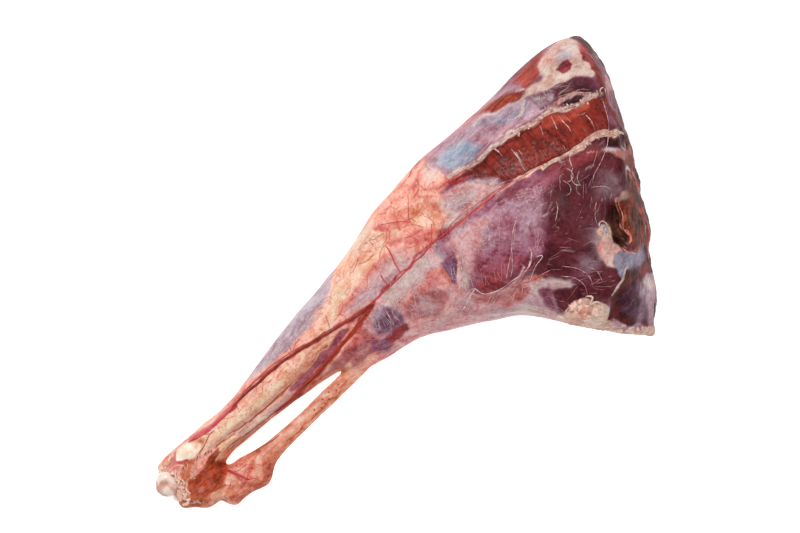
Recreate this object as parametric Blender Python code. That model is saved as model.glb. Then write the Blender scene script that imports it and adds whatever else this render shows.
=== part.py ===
"""A raw leg of beef on the bone, lying on its outer side with the inner side up.

+X runs from the hock to the cut end of the thigh, +Y to the front of the leg and +Z up from the table.
The tables below are in units of UNIT, which is a millimetre at the stated leg length.
"""

import math

import bmesh
import bpy
import numpy as np
from mathutils import Matrix, Vector

# Driving dimensions, in metres
LEG_LENGTH = 0.703
THIGH_THICKNESS = 0.160
GAP = 0.0003

UNIT = LEG_LENGTH / 703
LIFT = THIGH_THICKNESS / (160 * UNIT)

# Level of the flat spot that the leg rests on, height of a section's widest line as a share, and how far
# up from that line the relief of the upper side comes in fully
FLAT_LEVEL = -3.5
RIM_SHARE = 0.44
RELIEF_FROM_RIM = 0.45

# How finely the surfaces are divided and softened, and how many triangles the leg keeps in the end
CURVE_STEPS = 24
END_LINE_STEPS = 33
BODY_SECTIONS = 240
BODY_AROUND = 110
CORD_SECTIONS = 60
CORD_AROUND = 24
BONE_AROUND = 20
UPPER_SHARE = 0.66
SOFTENING_STEPS = 4
LEG_TRIANGLES = 10900

# The body: front edge, back edge, top height, bottom height, outward bow of the section, fullness
BODY = (
    ((13, 11), (9, -33), 47, 5, 0, 2.3),
    ((24, 20), (23, -48), 53, 1, 0, 2.3),
    ((45, 23), (44, -57), 56, -1, 0, 2.3),
    ((65, 24), (64, -53), 53, 0, 0, 2.2),
    ((84, 25), (84, -32), 50, 5, 0, 2.1),
    ((110, 25), (112, -22), 50, 8, 0, 2.1),
    ((150, 33), (150, -20), 56, 9, 0, 2.1),
    ((200, 47), (200, -21), 64, 9, 0, 2.1),
    ((240, 57), (236, -24), 71, 8, 0, 2.1),
    ((268, 63), (260, -38), 78, 7, 0, 2.2),
    ((310, 71), (298, -46), 86, 5, 0, 2.2),
    ((350, 82), (342, -51), 97, 3, 0, 2.3),
    ((390, 97), (380, -67), 109, 0, 0, 2.3),
    ((430, 104), (420, -86), 123, -3, 0, 2.4),
    ((472, 111), (452, -102), 137, -6, 0, 2.5),
    ((520, 112), (478, -131), 149, -6, 2, 2.5),
    ((580, 117), (503, -162), 157, -6, 6, 2.5),
    ((638, 124), (530, -190), 160, -6, 15, 2.5),
    ((680, 121), (549, -206), 158, -5, 22, 2.6),
    ((703, 108), (562, -217), 154, -4, 22, 2.7),
)

# The heel bone under its skin and the tendon that runs from it to the calf: centre, half width, height
CORD = (
    ((47, -54), 12, 27, 13),
    ((60, -58), 15.5, 28, 18),
    ((76, -55), 18.5, 31, 19),
    ((92, -54), 20, 32, 17),
    ((106, -53), 18, 33, 15),
    ((122, -50), 13, 34, 12),
    ((142, -48), 10.3, 35, 9.5),
    ((180, -44.3), 9.3, 38, 8.5),
    ((215, -41), 9.3, 41, 8.5),
    ((245, -37), 9.7, 44, 9),
    ((275, -32), 11, 46, 10),
    ((305, -26), 12, 48, 11),
)

# Raised bands on the upper side: path, half width, height
RIDGES = {
    "shin": (((60, 6), (110, 8), (200, 13), (262, 30), (330, 54), (372, 80)), 17, 4.5),
    "front_shank_muscle": (((130, 26), (200, 40), (300, 64)), 14, 3),
    "kneecap": (((385, 84), (412, 84)), 27, 6),
    "upper_thigh_muscle": (((455, 86), (540, 85), (600, 78), (660, 62)), 26, 6),
    "front_edge_muscle": (((520, 106), (570, 106), (618, 100)), 15, 5),
    "inner_thigh_belly": (((455, -18), (540, -20)), 56, 9),
    "back_thigh_belly": (((560, -60), (585, -20)), 48, 5),
    "cut_fat_bead": (((612, 90), (650, 80), (680, 62)), 10, 4),
    "upper_fat_seam": (((480, 71), (560, 69), (620, 60), (668, 47)), 8, 2.5),
    "lower_seam_bead": (((600, 16), (640, 9), (668, 0)), 9, 4),
    "flap_lip": (((640, -62), (612, -78), (603, -102), (611, -134)), 9, 7),
    "back_edge_roll": (((420, -74), (470, -104), (520, -160)), 22, 4),
    "inner_lip_of_belly": (((416, -42), (440, -58), (475, -64), (505, -58)), 12, 3),
}

# Furrows on the upper side: path, half width, depth
FURROWS = {
    "shank_seam": (((74, -7), (150, -6), (225, 0), (285, 6)), 8, 4),
    "vein_bed": (((150, -18), (215, -12), (262, -3), (312, 11)), 7, 3),
    "inner_seam": (((312, 12), (400, 23), (500, 27), (560, 20), (612, 6)), 10, 3.5),
    "knee_hollow": (((420, 64), (432, 54)), 20, 5),
    "front_seam": (((500, 98), (560, 97), (606, 92)), 9, 4),
    "slit": (((626, 64), (650, 58), (662, 51)), 9, 5),
    "calf_window": (((312, -8), (330, -28)), 22, 2),
    "back_window": (((424, 12), (428, -16)), 18, 2.5),
    "below_belly": (((424, -60), (450, -74), (492, -78)), 14, 3),
    "deep_hollow": (((612, -68), (598, -84), (594, -100)), 17, 24),
    "sinew_triangle": (((575, -108), (592, -128)), 18, 6),
}

# Whole areas that stand higher or lower: outline, softness of the edge, height
FIELDS = {
    "bared_red_muscle": (((500, 66), (545, 64), (605, 57), (668, 42), (664, 4), (600, 18), (520, 32)), 11, -5),
    "pale_cut_plate": (((612, 90), (640, 99), (654, 118), (690, 116), (704, 98), (684, 64)), 6, 4),
    "red_corner": (((606, 112), (640, 124), (656, 118), (638, 99), (616, 98)), 6, -3),
    "fat_nub": (((486, -126), (506, -126), (526, -136), (530, -150), (514, -160), (500, -150)), 6, 6),
    "dark_block": (((530, -160), (556, -142), (604, -140), (606, -156), (566, -206), (546, -196)), 7, -10),
}

# The cut end: how wide the slope above its wall shows, by place across the leg
END_SLOPE_PLACES = (-212, -150, -120, -60, -40, 40, 112)
END_SLOPE_WIDTHS = (50, 46, 44, 34, 18, 15, 15)
END_FOOT_SHARE = 0.08

# The wall at the cut end: rings towards its middle, how far the seams lie behind its rim, and the cut
# muscles that stand out of it, by place across the leg, height, half width, half height and rise
CAP_SHARES = (0.975, 0.93, 0.86, 0.76, 0.64, 0.52, 0.4, 0.27, 0.14)
CAP_INSET = 4
CAP_MIDDLE_HEIGHT = 36
CUT_RELIEF_FROM_TABLE = 20
CUT_MUSCLES = (
    (82, 28, 38, 44, 8),
    (16, 38, 44, 46, 7),
    (-58, 30, 36, 44, 7),
    (-116, 38, 34, 46, 7),
    (-176, 30, 34, 44, 7),
    (92, 102, 26, 52, 8),
    (40, 116, 40, 46, 7),
    (-30, 104, 38, 52, 7),
    (-96, 112, 38, 44, 8),
    (-160, 96, 40, 48, 7),
)

# Bone at the hock: a pulley with two rims as radius by height, then centre and half sizes of its neck
# and of a small second knob
BONE_CENTRE = (12.5, -5.5)
BONE_PROFILE = ((0, 6.5), (7.5, 7.5), (11.2, 11), (12.4, 17), (11.4, 23), (10.2, 28),
                (11.4, 34), (12.4, 40), (11.4, 46), (8.2, 49.2), (4.5, 50.2), (0, 49.6))
BONE_END_RADIUS = 9
BONE_NECK = ((26, -7, 28), (17.5, 9.5, 17))
BONE_KNOB = ((12.5, -20.5, 24), (6.2, 6.2, 15))


def smooth(share):
    """A soft ramp from 0 to 1."""
    share = np.clip(share, 0.0, 1.0)
    return share * share * (3.0 - 2.0 * share)


def distance_to_path(points, path):
    """How far each plan point is from an open path of straight pieces."""
    nearest = np.full(len(points), np.inf)
    path = np.array(path, float)
    for start, end in zip(path[:-1], path[1:]):
        run = end - start
        share = np.clip((points - start) @ run / (run @ run), 0.0, 1.0)
        foot = start + share[:, None] * run
        nearest = np.minimum(nearest, np.linalg.norm(points - foot, axis=1))
    return nearest


def inside(points, outline):
    """Which plan points lie inside a closed outline."""
    found = np.zeros(len(points), bool)
    corners = np.array(outline, float)
    for a, b in zip(corners, np.roll(corners, -1, axis=0)):
        crosses = (a[1] > points[:, 1]) != (b[1] > points[:, 1])
        rise = b[1] - a[1] if b[1] != a[1] else 1.0
        reach = (b[0] - a[0]) * (points[:, 1] - a[1]) / rise + a[0]
        found ^= crosses & (points[:, 0] < reach)
    return found


def band(points, path, half_width):
    """1 on the path, falling to 0 at the half width."""
    share = np.clip(distance_to_path(points, path) / half_width, 0.0, 1.0)
    return (1.0 - share * share) ** 2


def field(points, outline, softness):
    """1 well inside the outline and 0 well outside it."""
    closed = tuple(outline) + (outline[0],)
    away = distance_to_path(points, closed)
    signed = np.where(inside(points, outline), away, -away)
    return smooth(0.5 + signed / (2.0 * softness))


def upper_relief(points):
    """Height that the muscles, seams and torn areas add to the upper side."""
    height = np.zeros(len(points))
    for path, half_width, rise in RIDGES.values():
        height += rise * band(points, path, half_width)
    for path, half_width, depth in FURROWS.values():
        height -= depth * band(points, path, half_width)
    for outline, softness, rise in FIELDS.values():
        height += rise * field(points, outline, softness)
    return height


def end_frame():
    """Middle of the cut end in plan, the half line from there to the front edge, and the way it faces."""
    front, back = np.array(BODY[-1][0], float), np.array(BODY[-1][1], float)
    half = (front - back) / 2.0
    return (front + back) / 2.0, half, np.array([half[1], -half[0]]) / np.linalg.norm(half)


def end_line(across):
    """Plan places along the bowed outer line of the cut end, from -1 at the back to 1 at the front."""
    middle, half, outward = end_frame()
    across = across[:, None]
    return middle + across * half + BODY[-1][4] * (1.0 - across ** 2) * outward


def end_slope(points):
    """How much of its full height the surface keeps near the cut end: 1 inland, less at the outer line."""
    width = np.interp(points[:, 1], END_SLOPE_PLACES, END_SLOPE_WIDTHS)
    inland = distance_to_path(points, end_line(np.linspace(-1.0, 1.0, END_LINE_STEPS)))
    share = np.clip(inland / width, 0.0, 1.0)
    return END_FOOT_SHARE + (1.0 - END_FOOT_SHARE) * np.sin(share * math.pi / 2.0)


def between(rows, count):
    """Rows read from a smooth curve through the given rows, evenly spread over its length."""
    rows = np.array(rows, float)
    before = np.vstack([2 * rows[0] - rows[1], rows[:-1]])[:-1]
    start, end = rows[:-1], rows[1:]
    after = np.vstack([rows[2:], 2 * rows[-1] - rows[-2]])
    fine = []
    for share in np.linspace(0.0, 1.0, CURVE_STEPS, endpoint=False):
        fine.append(0.5 * (2 * start + (end - before) * share
                           + (2 * before - 5 * start + 4 * end - after) * share ** 2
                           + (3 * start - before - 3 * end + after) * share ** 3))
    fine = np.stack(fine, axis=1).reshape(-1, rows.shape[1])
    fine = np.vstack([fine, rows[-1]])
    middle = (fine[:, 0:2] + fine[:, 2:4]) / 2.0
    travelled = np.concatenate([[0.0], np.cumsum(np.linalg.norm(np.diff(middle, axis=0), axis=1))])
    wanted = np.linspace(0.0, travelled[-1], count)
    return np.stack([np.interp(wanted, travelled, fine[:, k]) for k in range(rows.shape[1])], axis=1)


def turns(around):
    """Angles round a section, closer together on its upper side."""
    upper = round(around * UPPER_SHARE)
    over = np.linspace(0.0, math.pi, upper, endpoint=False)
    under = np.linspace(math.pi, 2.0 * math.pi, around - upper, endpoint=False)
    return np.concatenate([over, under])


def section_points(row, angles):
    """One closed section of the body: plan places, heights, lift above the rim as a share, and the rim."""
    front, back = row[0:2], row[2:4]
    top, bottom, bow, fullness = row[4:8]
    across = np.sign(np.cos(angles)) * np.abs(np.cos(angles)) ** (2.0 / fullness)
    lift = np.sign(np.sin(angles)) * np.abs(np.sin(angles)) ** (2.0 / fullness)
    middle, half = (front + back) / 2.0, (front - back) / 2.0
    outward = np.array([half[1], -half[0]]) / np.linalg.norm(half)
    plan = middle + across[:, None] * half + (bow * (1.0 - across ** 2))[:, None] * outward
    rim = bottom + RIM_SHARE * (top - bottom)
    height = np.where(lift > 0.0, rim + lift * (top - rim), rim + lift * (rim - bottom))
    return plan, height, lift, rim


def body_sections():
    """All sections of the leg's body, from the hock to the cut end."""
    rows = [(*front, *back, *rest) for front, back, *rest in BODY]
    angles = turns(BODY_AROUND)
    sections = []
    for row in between(rows, BODY_SECTIONS):
        plan, height, lift, rim = section_points(row, angles)
        raised = height + smooth(lift / RELIEF_FROM_RIM) * upper_relief(plan)
        kept = end_slope(plan)
        height = np.where(lift > 0.0, rim + (raised - rim) * kept, height)
        height = np.maximum(height, FLAT_LEVEL)
        plan = plan + (1.0 - kept)[:, None] * cut_relief(plan, height)
        sections.append(np.column_stack([plan, height * LIFT]))
    return sections


def cut_relief(plan, height):
    """How far the cut muscles stand out of the end wall at these places, as plan moves."""
    stand = np.zeros(len(plan))
    for place, middle_height, half_width, half_height, rise in CUT_MUSCLES:
        away = ((plan[:, 1] - place) / half_width) ** 2 + ((height - middle_height) / half_height) ** 2
        stand = np.maximum(stand, rise * (1.0 - away))
    above_table = smooth((height - FLAT_LEVEL) / CUT_RELIEF_FROM_TABLE)
    return (above_table * (stand - CAP_INSET))[:, None] * end_frame()[2]


def end_cap():
    """Rings that close the cut end, with the cut muscles standing out of the wall in soft lobes."""
    angles = turns(BODY_AROUND)
    front, back, top, bottom, bow, fullness = BODY[-1]
    plan, height, lift, rim = section_points(np.array((*front, *back, top, bottom, bow, fullness)), angles)
    across = np.sign(np.cos(angles)) * np.abs(np.cos(angles)) ** (2.0 / fullness)
    height = np.where(lift > 0.0, rim + (height - rim) * END_FOOT_SHARE, np.maximum(height, FLAT_LEVEL))
    rings = []
    for share in CAP_SHARES:
        ring_height = CAP_MIDDLE_HEIGHT + (height - CAP_MIDDLE_HEIGHT) * share
        ring_plan = end_line(across * share)
        ring_plan += cut_relief(ring_plan, ring_height)
        rings.append(np.column_stack([ring_plan, ring_height * LIFT]))
    return rings


def skin(name, sections, material):
    """A closed object through the sections."""
    mesh = bmesh.new()
    loops = [[mesh.verts.new(Vector(point) * UNIT) for point in ring] for ring in sections]
    count = len(loops[0])
    for low, high in zip(loops[:-1], loops[1:]):
        for k in range(count):
            nxt = (k + 1) % count
            mesh.faces.new((low[k], low[nxt], high[nxt], high[k]))
    for loop in (loops[0][::-1], loops[-1]):
        middle = mesh.verts.new(sum((vert.co for vert in loop), Vector()) / count)
        for k in range(count):
            mesh.faces.new((middle, loop[k], loop[(k + 1) % count]))
    bmesh.ops.triangulate(mesh, faces=mesh.faces[:], quad_method="SHORT_EDGE")
    if mesh.calc_volume(signed=True) < 0.0:
        bmesh.ops.reverse_faces(mesh, faces=mesh.faces[:])
    return add_object(name, mesh, material)


def add_object(name, mesh, material):
    """Turns a bmesh into a named, smooth-shaded object in the scene."""
    data = bpy.data.meshes.new(name)
    mesh.to_mesh(data)
    mesh.free()
    data.materials.append(material)
    data.shade_smooth()
    made = bpy.data.objects.new(name, data)
    bpy.context.scene.collection.objects.link(made)
    return made


def cord_sections():
    """Sections of the heel and its tendon."""
    rows = []
    for (along, across), half_width, height, half_height in CORD:
        rows.append((along, across + half_width, along, across - half_width, height, half_height))
    angles = np.linspace(0.0, 2.0 * math.pi, CORD_AROUND, endpoint=False)
    sections = []
    for row in between(rows, CORD_SECTIONS):
        middle = (row[0:2] + row[2:4]) / 2.0
        half_width = (row[1] - row[3]) / 2.0
        along = np.full(CORD_AROUND, middle[0])
        across = middle[1] + half_width * np.cos(angles)
        sections.append(np.column_stack([along, across, row[4] + row[5] * np.sin(angles)]))
    return sections


def rounded_lump(name, centre, half_sizes, material):
    """A closed egg shape from its centre and half sizes."""
    mesh = bmesh.new()
    bmesh.ops.create_uvsphere(mesh, u_segments=16, v_segments=10, radius=1.0)
    place = Matrix.Translation(Vector(centre) * UNIT) @ Matrix.Diagonal((*(Vector(half_sizes) * UNIT), 1.0))
    bmesh.ops.transform(mesh, matrix=place, verts=mesh.verts)
    return add_object(name, mesh, material)


def bone(name, material, grow):
    """The end of the hock bone: pulley, neck and knob in one, made larger all round by grow."""
    pulley = bmesh.new()
    middle = (BONE_PROFILE[0][1] + BONE_PROFILE[-1][1]) / 2.0
    outline = []
    for radius, height in BONE_PROFILE:
        radius += grow if radius else 0.0
        height += math.copysign(grow, height - middle) if radius < BONE_END_RADIUS else 0.0
        outline.append(pulley.verts.new((radius * UNIT, 0.0, height * UNIT)))
    edges = [pulley.edges.new(pair) for pair in zip(outline[:-1], outline[1:])]
    bmesh.ops.spin(pulley, geom=outline + edges, cent=(0, 0, 0), axis=(0, 0, 1), angle=2.0 * math.pi,
                   steps=BONE_AROUND, use_merge=True)
    bmesh.ops.remove_doubles(pulley, verts=pulley.verts, dist=1e-6)
    bmesh.ops.recalc_face_normals(pulley, faces=pulley.faces[:])
    bmesh.ops.translate(pulley, verts=pulley.verts, vec=Vector((*BONE_CENTRE, 0)) * UNIT)
    whole = add_object(name, pulley, material)

    neck_centre, neck_sizes = BONE_NECK
    knob_centre, knob_sizes = BONE_KNOB
    neck = rounded_lump("bone_neck", neck_centre, [size + grow for size in neck_sizes], material)
    knob = rounded_lump("bone_knob", knob_centre, [size + grow for size in knob_sizes], material)
    return combine(whole, [neck, knob], "UNION")


def combine(target, others, operation):
    """Applies one Boolean between the target and the other objects, then removes those."""
    group = bpy.data.collections.new("operands")
    bpy.context.scene.collection.children.link(group)
    for other in others:
        bpy.context.scene.collection.objects.unlink(other)
        group.objects.link(other)
    modifier = target.modifiers.new(operation.lower(), "BOOLEAN")
    modifier.operation = operation
    modifier.operand_type = "COLLECTION"
    modifier.collection = group
    modifier.solver = "EXACT"
    bpy.context.view_layer.update()
    graph = bpy.context.evaluated_depsgraph_get()
    result = bpy.data.meshes.new_from_object(target.evaluated_get(graph))
    target.modifiers.clear()
    target.data = result
    for other in others:
        bpy.data.objects.remove(other)
    bpy.data.collections.remove(group)
    return target


def thin_out(target, triangles):
    """Keeps about the given number of triangles, fewest where the surface is flattest."""
    mesh = bmesh.new()
    mesh.from_mesh(target.data)
    bmesh.ops.triangulate(mesh, faces=mesh.faces[:])
    mesh.to_mesh(target.data)
    count = len(mesh.faces)
    mesh.free()
    soften = target.modifiers.new("soften", "SMOOTH")
    soften.factor = 0.5
    soften.iterations = SOFTENING_STEPS
    thin = target.modifiers.new("thin_out", "DECIMATE")
    thin.ratio = triangles / count
    bpy.context.view_layer.update()
    graph = bpy.context.evaluated_depsgraph_get()
    result = bpy.data.meshes.new_from_object(target.evaluated_get(graph))
    target.modifiers.clear()
    target.data = result


def colour_material(name, colour, roughness):
    """A plain Principled material."""
    material = bpy.data.materials.new(name)
    material.use_nodes = True
    surface = material.node_tree.nodes["Principled BSDF"]
    surface.inputs["Base Color"].default_value = (*colour, 1.0)
    surface.inputs["Roughness"].default_value = roughness
    surface.inputs["Metallic"].default_value = 0.0
    return material


def centre_on_origin(objects):
    """Moves the meshes so that the middle of their box stands over the origin, with the bottom at zero."""
    corners = np.array([vert.co for item in objects for vert in item.data.vertices])
    low, high = corners.min(axis=0), corners.max(axis=0)
    shift = Matrix.Translation(-Vector(((low[0] + high[0]) / 2, (low[1] + high[1]) / 2, low[2])))
    for item in objects:
        item.data.transform(shift)


def main():
    for item in list(bpy.data.objects):
        bpy.data.objects.remove(item)
    meat = colour_material("raw_meat", (0.28, 0.06, 0.06), 0.38)
    ivory = colour_material("joint_bone", (0.72, 0.58, 0.50), 0.42)

    leg = skin("leg_meat", body_sections() + end_cap(), meat)
    cord = skin("heel_and_tendon", cord_sections(), meat)
    combine(leg, [cord], "UNION")
    thin_out(leg, LEG_TRIANGLES)

    hock_bone = bone("hock_bone", ivory, 0.0)
    combine(leg, [bone("seat", ivory, GAP / UNIT)], "DIFFERENCE")
    centre_on_origin([leg, hock_bone])


main()
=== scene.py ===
# Raw beef leg: wet meat, silverskin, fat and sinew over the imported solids, with camera and soft light
import math

import bmesh
import bpy
import numpy as np
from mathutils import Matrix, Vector
from mathutils.bvhtree import BVHTree


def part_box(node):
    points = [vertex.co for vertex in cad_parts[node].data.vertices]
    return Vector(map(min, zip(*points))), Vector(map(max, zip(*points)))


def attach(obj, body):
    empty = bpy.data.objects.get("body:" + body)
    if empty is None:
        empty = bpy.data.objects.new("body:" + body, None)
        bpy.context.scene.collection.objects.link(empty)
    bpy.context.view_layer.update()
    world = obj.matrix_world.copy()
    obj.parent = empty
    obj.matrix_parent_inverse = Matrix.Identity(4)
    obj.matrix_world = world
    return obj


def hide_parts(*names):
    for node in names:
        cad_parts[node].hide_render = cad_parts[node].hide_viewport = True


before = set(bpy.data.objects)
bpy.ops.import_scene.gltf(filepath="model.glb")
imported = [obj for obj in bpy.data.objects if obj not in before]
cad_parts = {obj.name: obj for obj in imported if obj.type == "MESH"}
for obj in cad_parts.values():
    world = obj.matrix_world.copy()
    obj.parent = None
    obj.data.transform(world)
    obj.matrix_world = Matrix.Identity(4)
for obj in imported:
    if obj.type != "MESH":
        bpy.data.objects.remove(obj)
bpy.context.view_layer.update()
boneLow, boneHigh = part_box("hock_bone")

# Places are in mm in the leg's own frame: u from the hock to the cut end, v to the leg's front, w up
uZero = boneLow.x - 0.0001
vZero = (boneLow.y + boneHigh.y) / 2 + 0.0099
cutStart = 545  # where the sides begin to turn into the cut end


def toLeg(points):
    return (points - (uZero, vZero, 0)) * 1000


def fromLeg(points):
    return points / 1000 + (uZero, vZero, 0)


def ease(low, high, value):
    share = np.clip((value - low) / (high - low), 0, 1)
    return share * share * (3 - 2 * share)


latticeSide = 48
lattice = np.random.default_rng(7).random((latticeSide,) * 3)


def lumps(points, size, seed=0, octaves=1):
    # smooth noise from -1 to 1 whose lumps are `size` mm across
    total, strength, span = 0, 1.0, 0.0
    for octave in range(octaves):
        place = points / (size * 0.5 ** octave) + seed * 11.7 + octave * 5.3
        base = np.floor(place).astype(int)
        share = place - base
        share = share * share * (3 - 2 * share)
        value = 0
        for corner in range(8):
            near = np.array((corner & 1, corner >> 1 & 1, corner >> 2))
            weight = np.prod(np.where(near, share, 1 - share), axis=1)
            cell = (base + near) % latticeSide
            value = value + weight * lattice[cell[:, 0], cell[:, 1], cell[:, 2]]
        total = total + strength * (value * 2 - 1)
        span += strength
        strength *= 0.5
    return total / span * 1.6


def segmentDistance(plan, start, end):
    run = np.subtract(end, start).astype(float)
    share = np.clip(((plan - start) @ run) / max(run @ run, 1e-9), 0, 1)
    return np.linalg.norm(plan - (np.array(start) + share[:, None] * run), axis=1)


def pathDistance(plan, path):
    return np.min([segmentDistance(plan, a, b) for a, b in zip(path, path[1:])], axis=0)


def insideBy(plan, outline, farthest=30):
    # mm inside the outline, negative outside it
    corners = np.array(outline, float)
    result = np.full(len(plan), -float(farthest))
    close = np.all((plan > corners.min(0) - farthest) & (plan < corners.max(0) + farthest), axis=1)
    part = plan[close]
    if not len(part):
        return result
    nearest = np.full(len(part), 1e9)
    within = np.zeros(len(part), bool)
    for (ax, ay), (bx, by) in zip(corners, np.roll(corners, -1, axis=0)):
        nearest = np.minimum(nearest, segmentDistance(part, (ax, ay), (bx, by)))
        crosses = (ay > part[:, 1]) != (by > part[:, 1])
        if ay != by:
            within ^= crosses & (part[:, 0] < (bx - ax) * (part[:, 1] - ay) / (by - ay) + ax)
    result[close] = np.where(within, nearest, -nearest)
    return result


def smoothPath(path, step):
    # a smooth curve through the points, read every `step` mm
    knots = np.array([path[0], *path, path[-1]], float)
    fine = []
    for i in range(1, len(knots) - 2):
        p0, p1, p2, p3 = knots[i - 1:i + 3]
        for t in np.linspace(0, 1, 14, endpoint=False):
            fine.append(0.5 * (2 * p1 + (p2 - p0) * t + (2 * p0 - 5 * p1 + 4 * p2 - p3) * t ** 2
                               + (3 * p1 - p0 - 3 * p2 + p3) * t ** 3))
    fine = np.array([*fine, knots[-1]])
    reach = np.concatenate(([0], np.cumsum(np.linalg.norm(np.diff(fine, axis=0), axis=1))))
    places = np.linspace(0, reach[-1], max(3, int(reach[-1] / step) + 1))
    return np.column_stack([np.interp(places, reach, fine[:, axis]) for axis in range(fine.shape[1])])


def vertexArray(mesh, what="co"):
    values = np.zeros(len(mesh.vertices) * 3, np.float32)
    mesh.vertices.foreach_get(what, values)
    return values.reshape(-1, 3).astype(float)


def newObject(name, data):
    made = bpy.data.objects.new(name, data)
    bpy.context.scene.collection.objects.link(made)
    return made


def remeshedCopy(node, name, voxel):
    # a new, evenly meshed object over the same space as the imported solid
    plain = newObject(name + "Plain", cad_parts[node].data.copy())
    even = plain.modifiers.new("even mesh", "REMESH")
    even.mode = "VOXEL"
    even.voxel_size = voxel
    shaped = plain.evaluated_get(bpy.context.evaluated_depsgraph_get())
    made = newObject(name, bpy.data.meshes.new_from_object(shaped))
    bpy.data.objects.remove(plain)
    made.data.materials.clear()
    return made


def edgeEnds(mesh):
    ends = np.zeros(len(mesh.edges) * 2, int)
    mesh.edges.foreach_get("vertices", ends)
    return ends.reshape(-1, 2).T


def neighbourMean(ends, values):
    # at each vertex the mean of the values next to it
    first, second = ends
    count = len(values)
    total = [np.bincount(first, column[second], count) + np.bincount(second, column[first], count)
             for column in values.T]
    return np.column_stack(total) / np.bincount(ends.ravel(), minlength=count)[:, None]


def relax(mesh, rounds):
    # takes the solids' facets off without shrinking the shape
    ends = edgeEnds(mesh)
    points = vertexArray(mesh)
    for _ in range(rounds):
        for pull in (0.55, -0.57):
            points = points + pull * (neighbourMean(ends, points) - points)
    place(mesh, points)


def place(mesh, points):
    mesh.vertices.foreach_set("co", points.astype(np.float32).ravel())
    mesh.update()


def measure(mesh, name, values):
    # a number at each vertex that the material reads
    made = mesh.attributes.new(name, "FLOAT", "POINT")
    made.data.foreach_set("value", values.astype(np.float32))


def finishPiece(obj, material):
    obj.data.materials.append(material)
    obj.data.polygons.foreach_set("use_smooth", [True] * len(obj.data.polygons))
    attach(obj, "root")


def linear(hexColour):
    channels = [int(hexColour[i:i + 2], 16) / 255 for i in (1, 3, 5)]
    return [c / 12.92 if c <= 0.04045 else ((c + 0.055) / 1.055) ** 2.4 for c in channels] + [1.0]


def addNode(tree, kind, sockets, **settings):
    # one node with its settings; a socket's value is a number, a colour, or another node's output
    made = tree.nodes.new("ShaderNode" + kind)
    for name, value in settings.items():
        setattr(made, name, value)
    for socket, value in sockets.items():
        if isinstance(value, bpy.types.NodeSocket):
            tree.links.new(value, made.inputs[socket])
        else:
            made.inputs[socket].default_value = value
    return made


# Every tissue of the leg, and the painted shade of its hollows: its dark and light colour, fibre (the share
# of its streaks in the colour change), rough (its gloss), lift (height of its lumps, mm), bulge (how far a
# patch stands above its edge, mm), size (of its lumps, mm) and crisp (how sharp its border is)
tissueColumns = ("dark", "light", "fibre", "rough", "lift", "bulge", "size", "crisp")
tissueRows = {
    "muscle": ("#491a18", "#984038", 0.75, 0.36, 0.5, 1.4, 5, 3),
    "maroon": ("#3c161c", "#6c3339", 0.5, 0.34, 0.35, 0.8, 9, 2),
    "mauve": ("#7a3244", "#b07c90", 0.45, 0.3, 0.3, 0.5, 16, 2),
    "indigo": ("#4c2438", "#866078", 0.6, 0.3, 0.3, 0.3, 12, 2),
    "lilac": ("#98727b", "#cdbcc4", 0.6, 0.3, 0.3, 0.2, 14, 2),
    "blue": ("#7f889c", "#b9bec9", 0.5, 0.3, 0.3, 0.2, 14, 2),
    "pink": ("#d05c52", "#f6b4a6", 0.25, 0.36, 0.6, 0.5, 12, 2),
    "peach": ("#e3957a", "#fbd6c4", 0.5, 0.36, 0.4, 0.5, 12, 2),
    "ivory": ("#dcb08c", "#f6e4cd", 0.15, 0.38, 0.6, 0.9, 9, 2.5),
    "gristle": ("#ecd2b8", "#fdf4e6", 0.1, 0.36, 0.4, 0.9, 9, 3),
    "fat": ("#b8867a", "#dcc6b8", 0.2, 0.46, 0.9, 1.2, 7, 4),
    "rust": ("#722a1f", "#cf654b", 0.6, 0.38, 0.4, 0.6, 8, 2),
    "blood": ("#803034", "#cb6366", 0.4, 0.3, 0.3, 0.3, 7, 2.5),
    "scarlet": ("#8e362e", "#c66254", 0.8, 0.34, 0.5, 1.4, 5, 2.5),
    "brown": ("#3d211c", "#8c5448", 0.15, 0.46, 0.8, 1, 5, 3),
    "orange": ("#b0502e", "#eda586", 0.5, 0.36, 0.5, 0.5, 8, 2),
    "cut": ("#1c0908", "#4c2022", 0.1, 0.42, 0.8, 1, 4, 3),
    # dark is painted shade, not a tissue: near black where hollows, slits and gaps lie, and its bulge sinks
    # the surface there
    "dark": ("#0e0404", "#28100a", 0.2, 0.42, 0.5, -2.5, 6, 3),
}
tissues = {name: dict(zip(tissueColumns, row)) for name, row in tissueRows.items()}


def blankMaterial(name):
    made = bpy.data.materials.new(name)
    made.use_nodes = True
    made.node_tree.nodes.clear()
    return made, made.node_tree


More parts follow.
